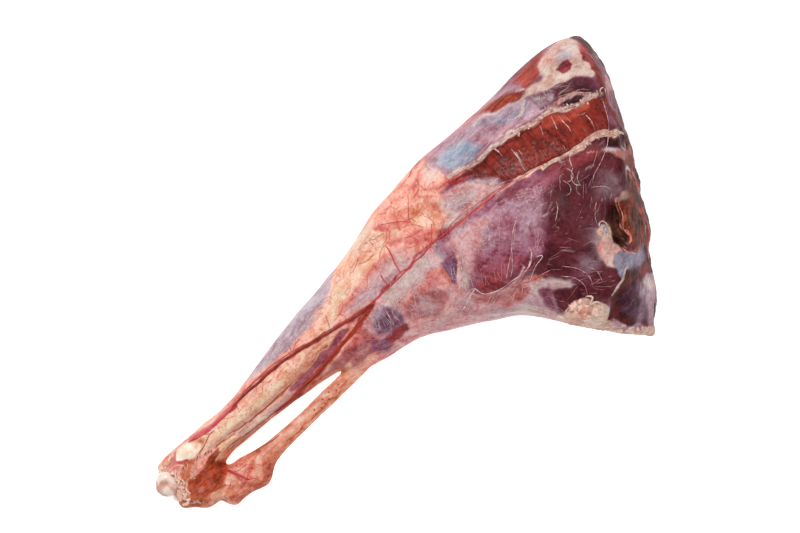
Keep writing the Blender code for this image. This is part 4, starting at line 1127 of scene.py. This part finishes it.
print("vessels")
veins = newCluster()
addStrand(veins, ((57, 18), (65, 18.5), (74, 18), (83, 16.5), (90, 16), (101, 17), (111, 18), (124, 20),
        (140, 21)), 6.6, (0.15, 0.3), height=0.12, tone=0.3, wander=0.3, bead=0.1, seed=1, sides=10)
addStrand(veins, ((61, 19), (67, 18.5), (74, 17), (82, 16), (92, 16)), 8.6, (0.1, 0.2), height=0.08,
        tone=0.35, bead=0.1, seed=2, sides=10)
addStrand(veins, ((140, 24), (163, 26.5), (190, 28.5), (217, 27), (236, 25)), 1.3, tone=0.7, wander=0.4,
        seed=3)
addStrand(veins, ((73, -35), (77, -42), (82, -51), (87, -60)), 2.4, (0.4, 0.5), height=0.3, tone=0.1,
        bead=0.3, seed=5)
addStrand(veins, ((326, 15), (353, 17), (372, 19), (393, 22), (406, 22), (420, 26), (437, 26), (449, 25),
        (477, 26), (504, 26), (528, 26), (548, 22)), vessels["thighWidth"], (0.9, 0.2), tone=0.3,
        wander=0.35, seed=4)
redBranches = (
    ((378, 57), (377, 45), (374, 30), (373, 20)), ((353, 34), (353, 25), (353, 18)),
    ((274, 36), (273, 30), (269, 21)), ((219, 38), (219, 31), (214, 26)),
    ((91, 11), (84, 10), (78, 14), (74, 20)), ((388, 84), (384, 76), (388, 70)),
    ((387, 80), (395, 74), (407, 69), (417, 60)), ((434, 88), (430, 82), (424, 75), (417, 66), (417, 56)),
    ((463, 70), (476, 71), (488, 70), (504, 68)), ((454, 96), (451, 88), (447, 84), (436, 80)),
    ((290, 3), (293, -5), (296, -13), (302, -18)), ((261, -8), (266, -18), (275, -23)),
    ((240, -8), (250, -14), (262, -18)), ((408, 22), (412, 32), (410, 42), (404, 52)),
    ((420, 26), (428, 36), (434, 44)), ((400, 50), (410, 46), (422, 46)),
    ((440, 24), (450, 30), (468, 33), (486, 36)), ((73, -35), (81, -48), (86, -58)),
    ((86, -58), (92, -62), (96, -70)), ((75, -40), (84, -44), (96, -43)),
    ((474, -72), (482, -76), (494, -78), (503, -82)), ((484, -130), (494, -129), (506, -127)),
    ((497, -130), (503, -138), (514, -146)), ((480, -62), (492, -66), (500, -62)),
)
for index, path in enumerate(redBranches):
    addStrand(veins, path, vessels["branchWidth"] * (1.5 if index in (0, 1, 17) else 0.8), (0.3, 0.2),
            tone=0.4, wander=1.3, seed=20 + index, sides=5)
buildCluster("veins", veins, vesselWall)

driedVeins = newCluster()
shankPair = (
    (158, -16), (180, -16), (195, -13), (210, -12), (225, -11), (240, -7.5), (255, -5), (270, -1.5),
    (285, 1), (300, 5.5), (312, 8), (325, 12.5),
)
for offset, share, tone in ((-1.4, 0.62, 0.55), (1.3, 0.6, 0.8)):
    vein = [(u, v + offset * (0.5 if u < 200 else 1)) for u, v in shankPair]
    addStrand(driedVeins, vein, vessels["shankWidth"] * share, (0.2, 0.5), height=0.42, tone=tone,
            wander=0.3, bead=0.1, seed=60 + int(offset), sides=8)
addStrand(driedVeins, ((112, 18), (124, 19), (138, 21), (150, 22), (165, 22.5), (180, 24), (195, 24.3),
        (210, 24), (225, 23), (240, 21.5), (255, 20), (270, 18), (285, 16.5), (300, 14.5), (312, 14),
        (327, 13.5)), vessels["mainWidth"], (0.2, 0.7), height=0.35, tone=0.2, toneSpan=0.3, wander=0.3,
        bead=0.15, seed=59, sides=8)
driedBranches = (
    ((91, 11), (86, 10.5), (80, 9), (70, 4), (58, 0), (52, -5)), ((360, 73), (367, 73), (374, 69)),
    ((367, 73), (372, 75), (376, 74)), ((366, 73), (368, 68), (366, 64)), ((358, 75), (363, 72), (365, 70)),
    ((374, 70), (381, 71), (386, 68)), ((417, 66), (421, 62), (422, 56)), ((415, 58), (421, 52), (424, 46)),
    ((404, 21), (408, 23), (415, 25)), ((415, 25), (424, 26), (434, 26.5)),
    ((462, 30), (480, 29.5), (509, 29), (530, 27.5)), ((629, -92), (626, -102), (618, -112), (609, -121)),
    ((340, 60), (350, 56), (362, 58)), ((326, 56), (336, 58), (346, 66)), ((350, 72), (356, 64), (362, 62)),
    ((449, 104), (457, 107), (467, 109)), ((452, 96), (452, 86), (453, 78)),
    ((100, -2), (130, -5), (160, -5), (195, -2)), ((96, -14), (125, -18), (154, -17), (190, -17)),
    ((104, -37), (115, -38), (131, -39.5), (146, -40)),
)
for index, path in enumerate(driedBranches):
    addStrand(driedVeins, path, 1.0 if index in (0, 17, 18, 19) else 0.55, (0.3, 0.2), tone=0.3, wander=1.2,
            seed=80 + index, sides=5)
buildCluster("driedVeins", driedVeins, driedVessel)

# fine vessels that branch over the knee and the top of the shank
netting = dict(
    width=0.55,  # real ones are 0.2 to 0.4 mm
    perStart=2,
    lengths=(14, 30),
)
nettingStarts = (
    (330, 62), (346, 70), (360, 60), (372, 82), (390, 72), (398, 88), (410, 80), (426, 92), (440, 76),
    (402, 60), (414, 40), (432, 34), (452, 40), (120, 9), (150, 14), (180, 16), (210, 15), (300, 38),
    (316, 50), (470, 96), (90, -60), (70, -66), (100, -54), (60, -52), (40, -40), (30, 22), (290, -14),
    (310, -44), (280, 30), (384, 58), (444, 92),
)
chance = np.random.default_rng(5)
capillaries = newCluster()


def grow(start, heading, length, width, level):
    path = [np.array(start, float)]
    for _ in range(max(3, int(length / 3))):
        heading += chance.normal(0, 0.32)
        path.append(path[-1] + 3 * np.array((math.cos(heading), math.sin(heading))))
        if level < 2 and chance.random() < 0.22:
            fork = heading + chance.choice((-1, 1)) * chance.uniform(0.5, 1.0)
            grow(path[-1], fork, length * 0.55, width * 0.75, level + 1)
    addStrand(capillaries, path, width, (0.5, 0.15), height=0.35, tone=chance.uniform(0.3, 0.9), wander=0.4,
              seed=int(chance.integers(9999)), sides=4, step=2.4)


for start in nettingStarts:
    for _ in range(netting["perStart"]):
        heading, length = chance.uniform(0, 2 * math.pi), chance.uniform(*netting["lengths"])
        grow(start, heading, length, netting["width"], 0)
buildCluster("capillaries", capillaries, vesselWall)

print("sinew and fascia")
sinews = dict(
    thickness=0.72,  # against the width in each row
    wander=0.8,
    tone=0.42,  # 0 is reddish, 1 white
)
sinew = newCluster()
# sinew strands, and short pale strands that are partly painted highlights: width, path
sinewAndGlintRows = (
    (0.9, ((512, -11), (500, -19), (488, -32), (476, -44), (466, -54), (458, -64))),
    (0.8, ((514, -9), (497, -26), (485, -38), (475, -52), (463, -62))),
    (0.9, ((506, -46), (499, -55), (489, -62), (473, -68))),
    (0.7, ((560, -22), (555, -32), (545, -40))),
    (0.7, ((553, -18), (539, -15), (524, -20), (512, -30))),
    (0.7, ((479, 10), (481, 2), (478, -8), (470, -12), (464, -10))),
    (0.9, ((673, 38), (668, 23), (661, 9), (651, -3), (642, -11), (626, -19), (612, -25), (604, -32))),
    (1.3, ((610, 10), (605, 8), (601, 5), (598, -3))),
    (1.7, ((682, 46), (678, 47.5), (675, 44.5), (675.5, 41), (679, 39), (682.5, 41), (682.5, 44.5),
        (680, 47))),
    (0.8, ((332, 13), (329, 3), (327, -6), (328, -17), (320, -29))),
    (1.0, ((334, 7), (332, -3), (331, -12), (330, -22))),
    (0.9, ((344, 10), (342, 0), (336, -12), (338, -22))),
    (0.8, ((395, 20), (382, 12), (376, 2), (368, -10), (362, -24), (358, -38))),
    (0.8, ((400, 18), (404, -2), (408, -20), (400, -38))),
    (1.0, ((436, 6), (433, -9), (428, -20), (419, -29), (408, -37), (396, -43), (373, -46), (346, -47))),
    (0.8, ((441, 2), (437, -12), (432, -24), (424, -36), (410, -48))),
    (0.9, ((455, 31), (462, 29), (450, 36), (444, 40))),
    # down to the one at (628, 44), these short strands across the bared red muscle are partly sinew and
    # partly painted highlights, for the narrow glints along its fibres
    (1.2, ((598, 60), (598, 53), (595, 45))),
    (2.6, ((542, 68), (544, 61), (544, 54))),
    (1.6, ((557, 55), (557, 47), (557, 40), (555, 31), (554, 25))),
    (1.0, ((559, 50), (558, 43), (557, 34))),
    (1.2, ((615, 57), (613, 48), (611, 40))),
    (1.2, ((622, 52), (622, 43), (623, 36), (622, 28))),
    (1.1, ((647, 34), (647, 24), (644, 14))),
    (0.9, ((639, 40), (644, 36), (649, 36))),
    (0.8, ((606, 23), (604, 17))),
    (0.9, ((563, 50), (563, 42))),
    (0.8, ((628, 44), (629, 36))),
    (1.0, ((620, 84), (616, 78), (618, 72), (614, 66))),
    (0.6, ((626, 82), (624, 74), (628, 68))),
    (0.7, ((632, 70), (646, 64), (660, 60), (668, 52))),
    (1.0, filmEdge),
    (1.1, blockEdge),
    (0.7, ((60, 15), (59, 11), (57, 7))),
    (0.9, ((478, -70), (488, -76), (496, -78), (508, -80))),
    (0.8, ((520, -84), (532, -96), (538, -110), (534, -124))),
    (0.7, ((512, -92), (524, -104), (528, -118), (522, -130))),
    (0.6, ((540, -100), (548, -112), (546, -126))),
    (0.8, ((448, 27), (470, 29), (500, 30), (526, 31), (546, 24))),
    (0.7, ((600, -34), (612, -42), (616, -52), (608, -60))),
    (1.0, ((592, 0), (594, -8), (588, -14), (580, -12))),
    (1.1, ((598, -4), (590, -10), (588, -20), (594, -26))),
    (0.9, ((580, -8), (584, -18), (578, -26), (572, -24))),
    (0.8, ((602, -12), (594, -16), (592, -26))),
    (0.9, ((586, -4), (580, -2), (576, -10))),
    (0.8, ((590, -22), (584, -28), (586, -34))),
    (0.7, ((596, -50), (584, -62), (580, -72))),
)
for index, (width, path) in enumerate(sinewAndGlintRows):
    addStrand(sinew, path, width * sinews["thickness"], (0.3, 0.1), height=0.3, tone=sinews["tone"],
            toneSpan=0.5, wander=sinews["wander"], bead=0.55, seed=200 + index, sides=5, step=1.8)
# the membrane that folds back below the inner thigh muscle
membraneFolds = (
    (0.9, ((414, -45), (421, -43), (429, -44), (430, -53), (438, -59), (445, -62), (454, -63), (464, -63))),
    (1.3, ((464, -63), (477, -64), (488, -63), (498, -57), (504, -49), (503, -44))),
    (1.2, ((429, -44), (421, -47), (416, -50), (406, -55), (400, -55))),
    (1.0, ((503, -58), (512, -62), (498, -66), (488, -72), (480, -78))),
)
for width, fold in membraneFolds:
    addStrand(sinew, fold, width, (0.3, 0.2), height=0.35, tone=0.62, toneSpan=0.4, wander=0.7, bead=0.4,
            seed=260 + int(fold[0][0]), sides=6)

# fans of short threads: outline, how many, heading in degrees and its spread, length, width, tone
threadFans = (
    (((430, 20), (470, 18), (500, -10), (470, -60), (430, -44)), 30, -125, 10, (16, 44), 0.34, 0.35),
    (((500, 10), (560, 0), (560, -40), (510, -60), (490, -40)), 20, -130, 14, (12, 30), 0.36, 0.35),
    (((340, 16), (410, 20), (420, -10), (400, -44), (350, -44)), 50, -110, 26, (12, 34), 0.38, 0.5),
    (((340, 14), (400, 18), (392, 2), (350, 0)), 50, -150, 24, (10, 24), 0.55, 0.85),
    (((416, 20), (444, 20), (440, -30), (420, -50), (396, -50)), 26, -115, 16, (14, 30), 0.4, 0.6),
    (((560, 10), (650, -4), (640, -60), (570, -60)), 26, -140, 40, (6, 20), 0.34, 0.2),
    (((508, -70), (570, -60), (580, -110), (540, -140), (510, -120)), 30, 155, 24, (6, 22), 0.34, 0.2),
    (((480, 104), (560, 104), (610, 90), (600, 78), (484, 78)), 24, 172, 8, (12, 34), 0.34, 0.4),
    (((600, 88), (660, 74), (668, 58), (606, 66)), 20, 165, 14, (6, 16), 0.36, 0.4),
    (((452, 66), (500, 52), (526, 30), (450, 28)), 50, -50, 34, (8, 20), 0.5, 0.75),
    (((130, 34), (230, 36), (310, 62), (310, 44), (200, 30)), 34, 10, 8, (14, 36), 0.45, 0.6),
    (((294, 26), (374, 44), (376, 26), (312, 18)), 30, 20, 16, (10, 24), 0.4, 0.55),
    (((350, -44), (430, -54), (480, -76), (480, -120), (350, -78)), 50, -160, 24, (12, 30), 0.5, 0.6),
    (((305, 6), (345, 6), (345, -24), (312, -26)), 30, -90, 30, (10, 22), 0.42, 0.5),
    (((110, -38), (250, -26), (250, -42), (112, -60)), 8, 6, 4, (16, 50), 0.35, 0.6),
    (((343, 2), (372, 14), (405, 22), (412, 12), (392, 0), (350, -8)), 30, 16, 12, (14, 34), 0.42, 0.85),
    (((345, -8), (392, 4), (402, -30), (356, -38)), 12, -62, 16, (14, 32), 0.38, 0.8),
    (((100, -10), (160, -12), (160, -19), (100, -22)), 24, 6, 6, (14, 34), 0.7, 0.55),
    (((30, 4), (46, 0), (46, -8), (36, -18), (28, -16), (27, -6)), 16, -118, 20, (6, 13), 0.6, 0.95),
)
fans = newCluster()
for number, (outline, count, heading, spread, lengths, width, tone) in enumerate(threadFans):
    chance = np.random.default_rng(300 + number)
    for spot in spotsInside(outline, count, 5, chance):
        angle = math.radians(heading + chance.normal(0, spread / 2))
        length = chance.uniform(*lengths)
        bend = chance.normal(0, 0.12) * length
        ahead = np.array((math.cos(angle), math.sin(angle)))
        aside = np.array((-ahead[1], ahead[0]))
        path = [spot + ahead * length * s + aside * bend * math.sin(math.pi * s)
                for s in (-0.5, -0.2, 0.15, 0.5)]
        addStrand(fans, path, width * chance.uniform(0.7, 1.5), (0.2, 0.2), height=0.3, sink=0.35,
                tone=tone, wander=0.25, seed=int(chance.integers(9999)), sides=4, step=3.0)
# pale lobes beside the joint
for centre, sizes in (((9.5, -20.5, 24), (5.6, 5.0, 6)), ((7, -27, 14), (3.6, 3.0, 4))):
    addCrumb(sinew, np.array(centre, float), np.array((0, 0, 1.0)), sizes, 0.6, 41, 1.0, 0.15)
buildCluster("sinewAndGlintStrands", sinew, whiteSinew)
buildCluster("fasciaThreads", fans, thinFascia)

print("fat")
fats = dict(
    seamWidth=2.0,  # of the cream line along the upper seam, mm
    lowerWidths=(3.0, 2.8, 2.2),  # of the three strands of the lower seam
    rimCrumbs=70,  # on the back rim of the cut
)
fat = newCluster()
addStrand(fat, upperSeam, fats["seamWidth"], (0.2, 0.4), height=0.2, tone=0.5, toneSpan=0.45, wander=1.1,
        bead=0.55, seed=401, sides=8, step=1.8)
addStrand(fat, [(u, v - 2.2) for u, v in upperSeam[6:-1]], 2.6, (0.2, 0.4), height=0.16, tone=0.4,
        toneSpan=0.45, wander=1.3, bead=0.6, seed=402, sides=8, step=1.8)
crumbLine(fat, upperSeam[5:], 5.5, 4.2, (0.5, 1.3), 400, tone=0.4, toneSpan=0.45, flat=0.22, lift=0.0)
addStrand(fat, ((634, 64), (644, 62.5), (652, 61), (661, 54), (668, 49)), 1.6, (0.2, 0.4), height=0.3,
        tone=0.45, wander=0.8, bead=0.5, seed=403, sides=6, step=1.8)
addStrand(fat, kneeSeam, 1.4, (0.2, 0.6), height=0.3, tone=0.5, toneSpan=0.4,
          wander=0.6, bead=0.3, seed=519, sides=6, step=1.8)
for shift, width, seed in zip((0, -2.6, 2.4), fats["lowerWidths"], (520, 521, 522)):
    addStrand(fat, [(u, v + shift * ease(590, 640, u)) for u, v in (*lowerSeam, (659, -3))], width,
            (0.2, 0.5), height=0.14, tone=0.45, toneSpan=0.45, wander=1.0, bead=0.5, seed=seed, sides=8,
            step=1.8)
crumbLine(fat, ((612, 10), (624, 9), (638, 8), (648, 4)), 4.4, 3.0, (0.7, 1.8), 530, tone=0.45, flat=0.22,
        lift=0.0)
for index in range(5):  # the fat flap where the seam ends, folded in ridges
    addStrand(fat, ((657 + index * 2.8, 2 - index * 2.4), (659 + index * 2.6, -3 - index * 2.2)), 2.6,
            (0.5, 0.4), height=0.5, tone=0.6, toneSpan=0.3, bead=0.3, seed=540 + index, sides=8, step=1.0)
scatterCrumbs(fat, ((576, -78), (584, -75), (592, -82), (590, -90), (580, -92)), 10, (0.8, 1.8), 560,
        tone=0.5, flat=0.35)
addStrand(fat, ((580, -75), (584, -71), (588, -73), (589, -79), (588, -86), (583, -90), (577, -89)), 2.0,
        (0.3, 0.4), height=0.4, tone=0.6, toneSpan=0.35, wander=0.5, bead=0.4, seed=590, sides=8, step=1.4)
addStrand(fat, ((521, -128), (526, -131), (527, -134), (523, -136), (518, -138), (524, -138.5), (528, -141),
        (529, -147)), 2.4, (0.4, 0.4), height=0.8, sink=0.0, tone=0.85, bead=0.25, seed=592, sides=8,
        step=1.2)
scatterCrumbs(fat, ((484, -138), (512, -157), (540, -186), (562, -206), (560, -214), (534, -194),
        (500, -164)), fats["rimCrumbs"], (0.9, 2.4), 600, tone=0.5, flat=0.35)
buildCluster("fatSeams", fat, softFat)

lump = dict(
    crumbs=34,
    sizes=(1.2, 3.2),  # mm
    rough=0.8,  # how torn a crumb is
)
pink = newCluster()
scatterCrumbs(pink, ((485, -130), (507, -125), (522, -129), (528, -143), (531, -156), (526, -161),
        (509, -154), (492, -141)), lump["crumbs"], lump["sizes"], 700, tone=0.65, toneSpan=0.3, flat=0.3,
        lift=0.0, rough=lump["rough"])
crumbLine(pink, ((474, -76), (484, -79), (494, -82)), 3, 3, (0.6, 1.3), 860, tone=0.2, flat=0.3)
buildCluster("fatLump", pink, pinkFat)

driedEdge = dict(
    width=1.1,
    tone=0.9,  # 0 is brown, 1 pale
)

rims = newCluster()
addStrand(rims, flapRim, driedEdge["width"], (0.3, 0.3), height=0.3, tone=driedEdge["tone"], toneSpan=0.35,
        wander=0.7, bead=0.5, seed=900, sides=6, step=2.5)
crumbLine(rims, ((8, -35), (20, -40), (32, -50), (44, -58), (52, -60)), 2, 3.4, (1.0, 2.2), 920, tone=0.5,
        flat=0.4)
crumbLine(rims, ((60, -1), (51, -5), (45, -10), (40, -14), (38, -19)), 1.4, 1.8, (0.6, 1.3), 950, tone=0.9,
        flat=0.5)
crumbLine(rims, ((66, -4), (74, -9), (80, -12)), 2, 3.2, (0.7, 1.4), 980, tone=0.1, flat=0.4)
buildCluster("driedRims", rims, driedRim)

spatter = dict(
    count=60,  # fine specks along the shin
    lengths=(0.4, 0.8),
)
specks = newCluster()
chance = np.random.default_rng(31)


def addSpeck(u, v, sizes, spin, tone, seed):
    spot, tilt = onSurface([(u, v)])
    addCrumb(specks, spot[0], tilt[0], sizes, spin, seed, tone)


for u, v in (
        (211, -38), (217, -42), (230, -40), (210, -44), (204, -45), (222, -36), (196, -42), (236, -36)):
    addSpeck(u, v, (1.3, 0.9, 0.3), chance.uniform(0, 3), 0.4, u)
for _ in range(spatter["count"]):
    u = chance.uniform(90, 250)
    v = chance.uniform(-2, 14) + max(0, u - 220) * 0.15
    addSpeck(u, v, (chance.uniform(*spatter["lengths"]), 0.35, 0.15), chance.uniform(0, 3), 0.2, int(u * 7))
for u, v in ((449, 103), (452, 105), (456, 107), (467, 109), (462, 108)):
    addSpeck(u, v, (2.4, 0.9, 0.5), 0.5, 0.0, u)
buildCluster("bloodSpecks", specks, driedVessel)

# Joint cartilage is glassy and blue-white, with the red of the bone showing through
wetCartilage = wetTissue("wetCartilage", "#b8624a", "#efdccf", 0.3, 7, bump=0.5, coat=0.4, flecks=0.35)
finishPiece(bone, wetCartilage)
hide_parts("hock_bone")

print("hock end")
capsule = dict(
    height=0.7,  # against its width
    tone=0.9,
    bead=0.4,  # how uneven it is
)
fringe = newCluster()
# the torn edge of the joint's capsule, chunky and pale, with gaps: width, path
tornEdge = (
    (3.2, ((21, 2), (24, -3), (21, -7), (23, -12))),
    (3.4, ((23, -11), (18, -15), (20, -19), (23, -20))),
    (3.4, ((21, -19), (16, -23), (18, -27), (21, -28))),
    (3.2, ((19, -27), (14, -31), (18, -34), (20, -34))),
    (3.0, ((20, -33), (14, -36), (9, -34))),
    (2.2, ((27, -2), (24, -8), (27, -13), (24, -18))),
    (2.0, ((25, -20), (22, -25), (24, -30))),
)
for index, (width, edge) in enumerate(tornEdge):
    addStrand(fringe, edge, width, (0.6, 0.6), height=capsule["height"], sink=0.1, tone=capsule["tone"],
              toneSpan=0.3, wander=0.8, bead=capsule["bead"], seed=1000 + index, sides=8, step=1.2)
crumbLine(fringe, ((21, 2), (22, -5), (21, -12), (20, -19), (18, -25), (16, -31), (12, -34)), 4.0, 1.6,
        (0.8, 2.0), 1040, tone=0.75, toneSpan=0.35, rough=0.6, lift=0.2)
crumbLine(fringe, ((11, 9), (15, 13), (21, 14), (27, 14), (34, 16)), 3.0, 1.8, (1.2, 2.6), 1100, tone=0.65,
        toneSpan=0.4, rough=0.5, lift=0.1)
addStrand(fringe, ((12, 7), (18, 11), (26, 12), (34, 14), (44, 19), (58, 21)), 1.8, tone=0.6, bead=0.4,
        wander=0.8, seed=1200)
addStrand(fringe, ((20, 4), (27, 7), (33, 4), (38, 0)), 1.8, tone=0.8, bead=0.4, wander=0.8, seed=1201)
buildCluster("hockFringe", fringe, pinkFat)

studio = dict(
    sky=0.3,
    paperGlow=0.65,  # lifts the ground to plain white
    paperReach=6.0,  # m
)
view = dict(
    aim=(376.3, 27.8, 80),  # what the middle of the picture looks at, mm
    turn=-38,  # the leg lies slanting across the picture
    height=4.0,
    width=0.92,  # ground that the picture spans at the height of the leg, m
)

print("camera, light and floor")
camera = newObject("camera", bpy.data.cameras.new("camera"))
aim = Vector(fromLeg(np.array([view["aim"]], float))[0])
camera.location = (aim.x, aim.y, view["height"])
camera.rotation_euler = (0, 0, math.radians(view["turn"]))
camera.data.lens = camera.data.sensor_width * (view["height"] - aim.z) / view["width"]
camera.data.clip_end = 30
bpy.context.scene.camera = camera

lights = (  # name, place over the leg in the picture's own axes, size, watts
    ("softbox", (-1.0, 1.1, 2.0), 0.5, 34),
    ("fill", (1.5, -0.9, 1.9), 1.6, 16),
    ("top", (0.2, 0.3, 2.6), 1.2, 12),
)
turn = math.radians(view["turn"])
for name, (right, up, height), size, watts in lights:
    lamp = newObject(name, bpy.data.lights.new(name, "AREA"))
    lamp.data.shape = "DISK"
    lamp.data.size = size
    lamp.data.energy = watts
    lamp.location = (aim.x + right * math.cos(turn) - up * math.sin(turn),
                     aim.y + right * math.sin(turn) + up * math.cos(turn), height)
    lamp.rotation_euler = (aim - lamp.location).to_track_quat("-Z", "Y").to_euler()

world = bpy.data.worlds.new("studio")
bpy.context.scene.world = world
world.use_nodes = True
world.node_tree.nodes["Background"].inputs["Color"].default_value = (1, 1, 1, 1)
world.node_tree.nodes["Background"].inputs["Strength"].default_value = studio["sky"]
bpy.context.scene.view_settings.view_transform = "Standard"

floorMesh = bpy.data.meshes.new("floor")
reach = studio["paperReach"]
floorMesh.from_pydata([(-reach, -reach, 0), (reach, -reach, 0), (reach, reach, 0), (-reach, reach, 0)], [],
                      [(0, 1, 2, 3)])
floor = newObject("floor", floorMesh)
floor.location.z = -0.0005
# The ground is a sheet of matt white paper
paper = bpy.data.materials.new("whitePaper")
paper.use_nodes = True
for socket, value in {"Base Color": linear("#f6f6f6"), "Roughness": 0.9, "Specular IOR Level": 0.0,
                      "Emission Color": (1, 1, 1, 1), "Emission Strength": studio["paperGlow"]}.items():
    paper.node_tree.nodes["Principled BSDF"].inputs[socket].default_value = value
floorMesh.materials.append(paper)
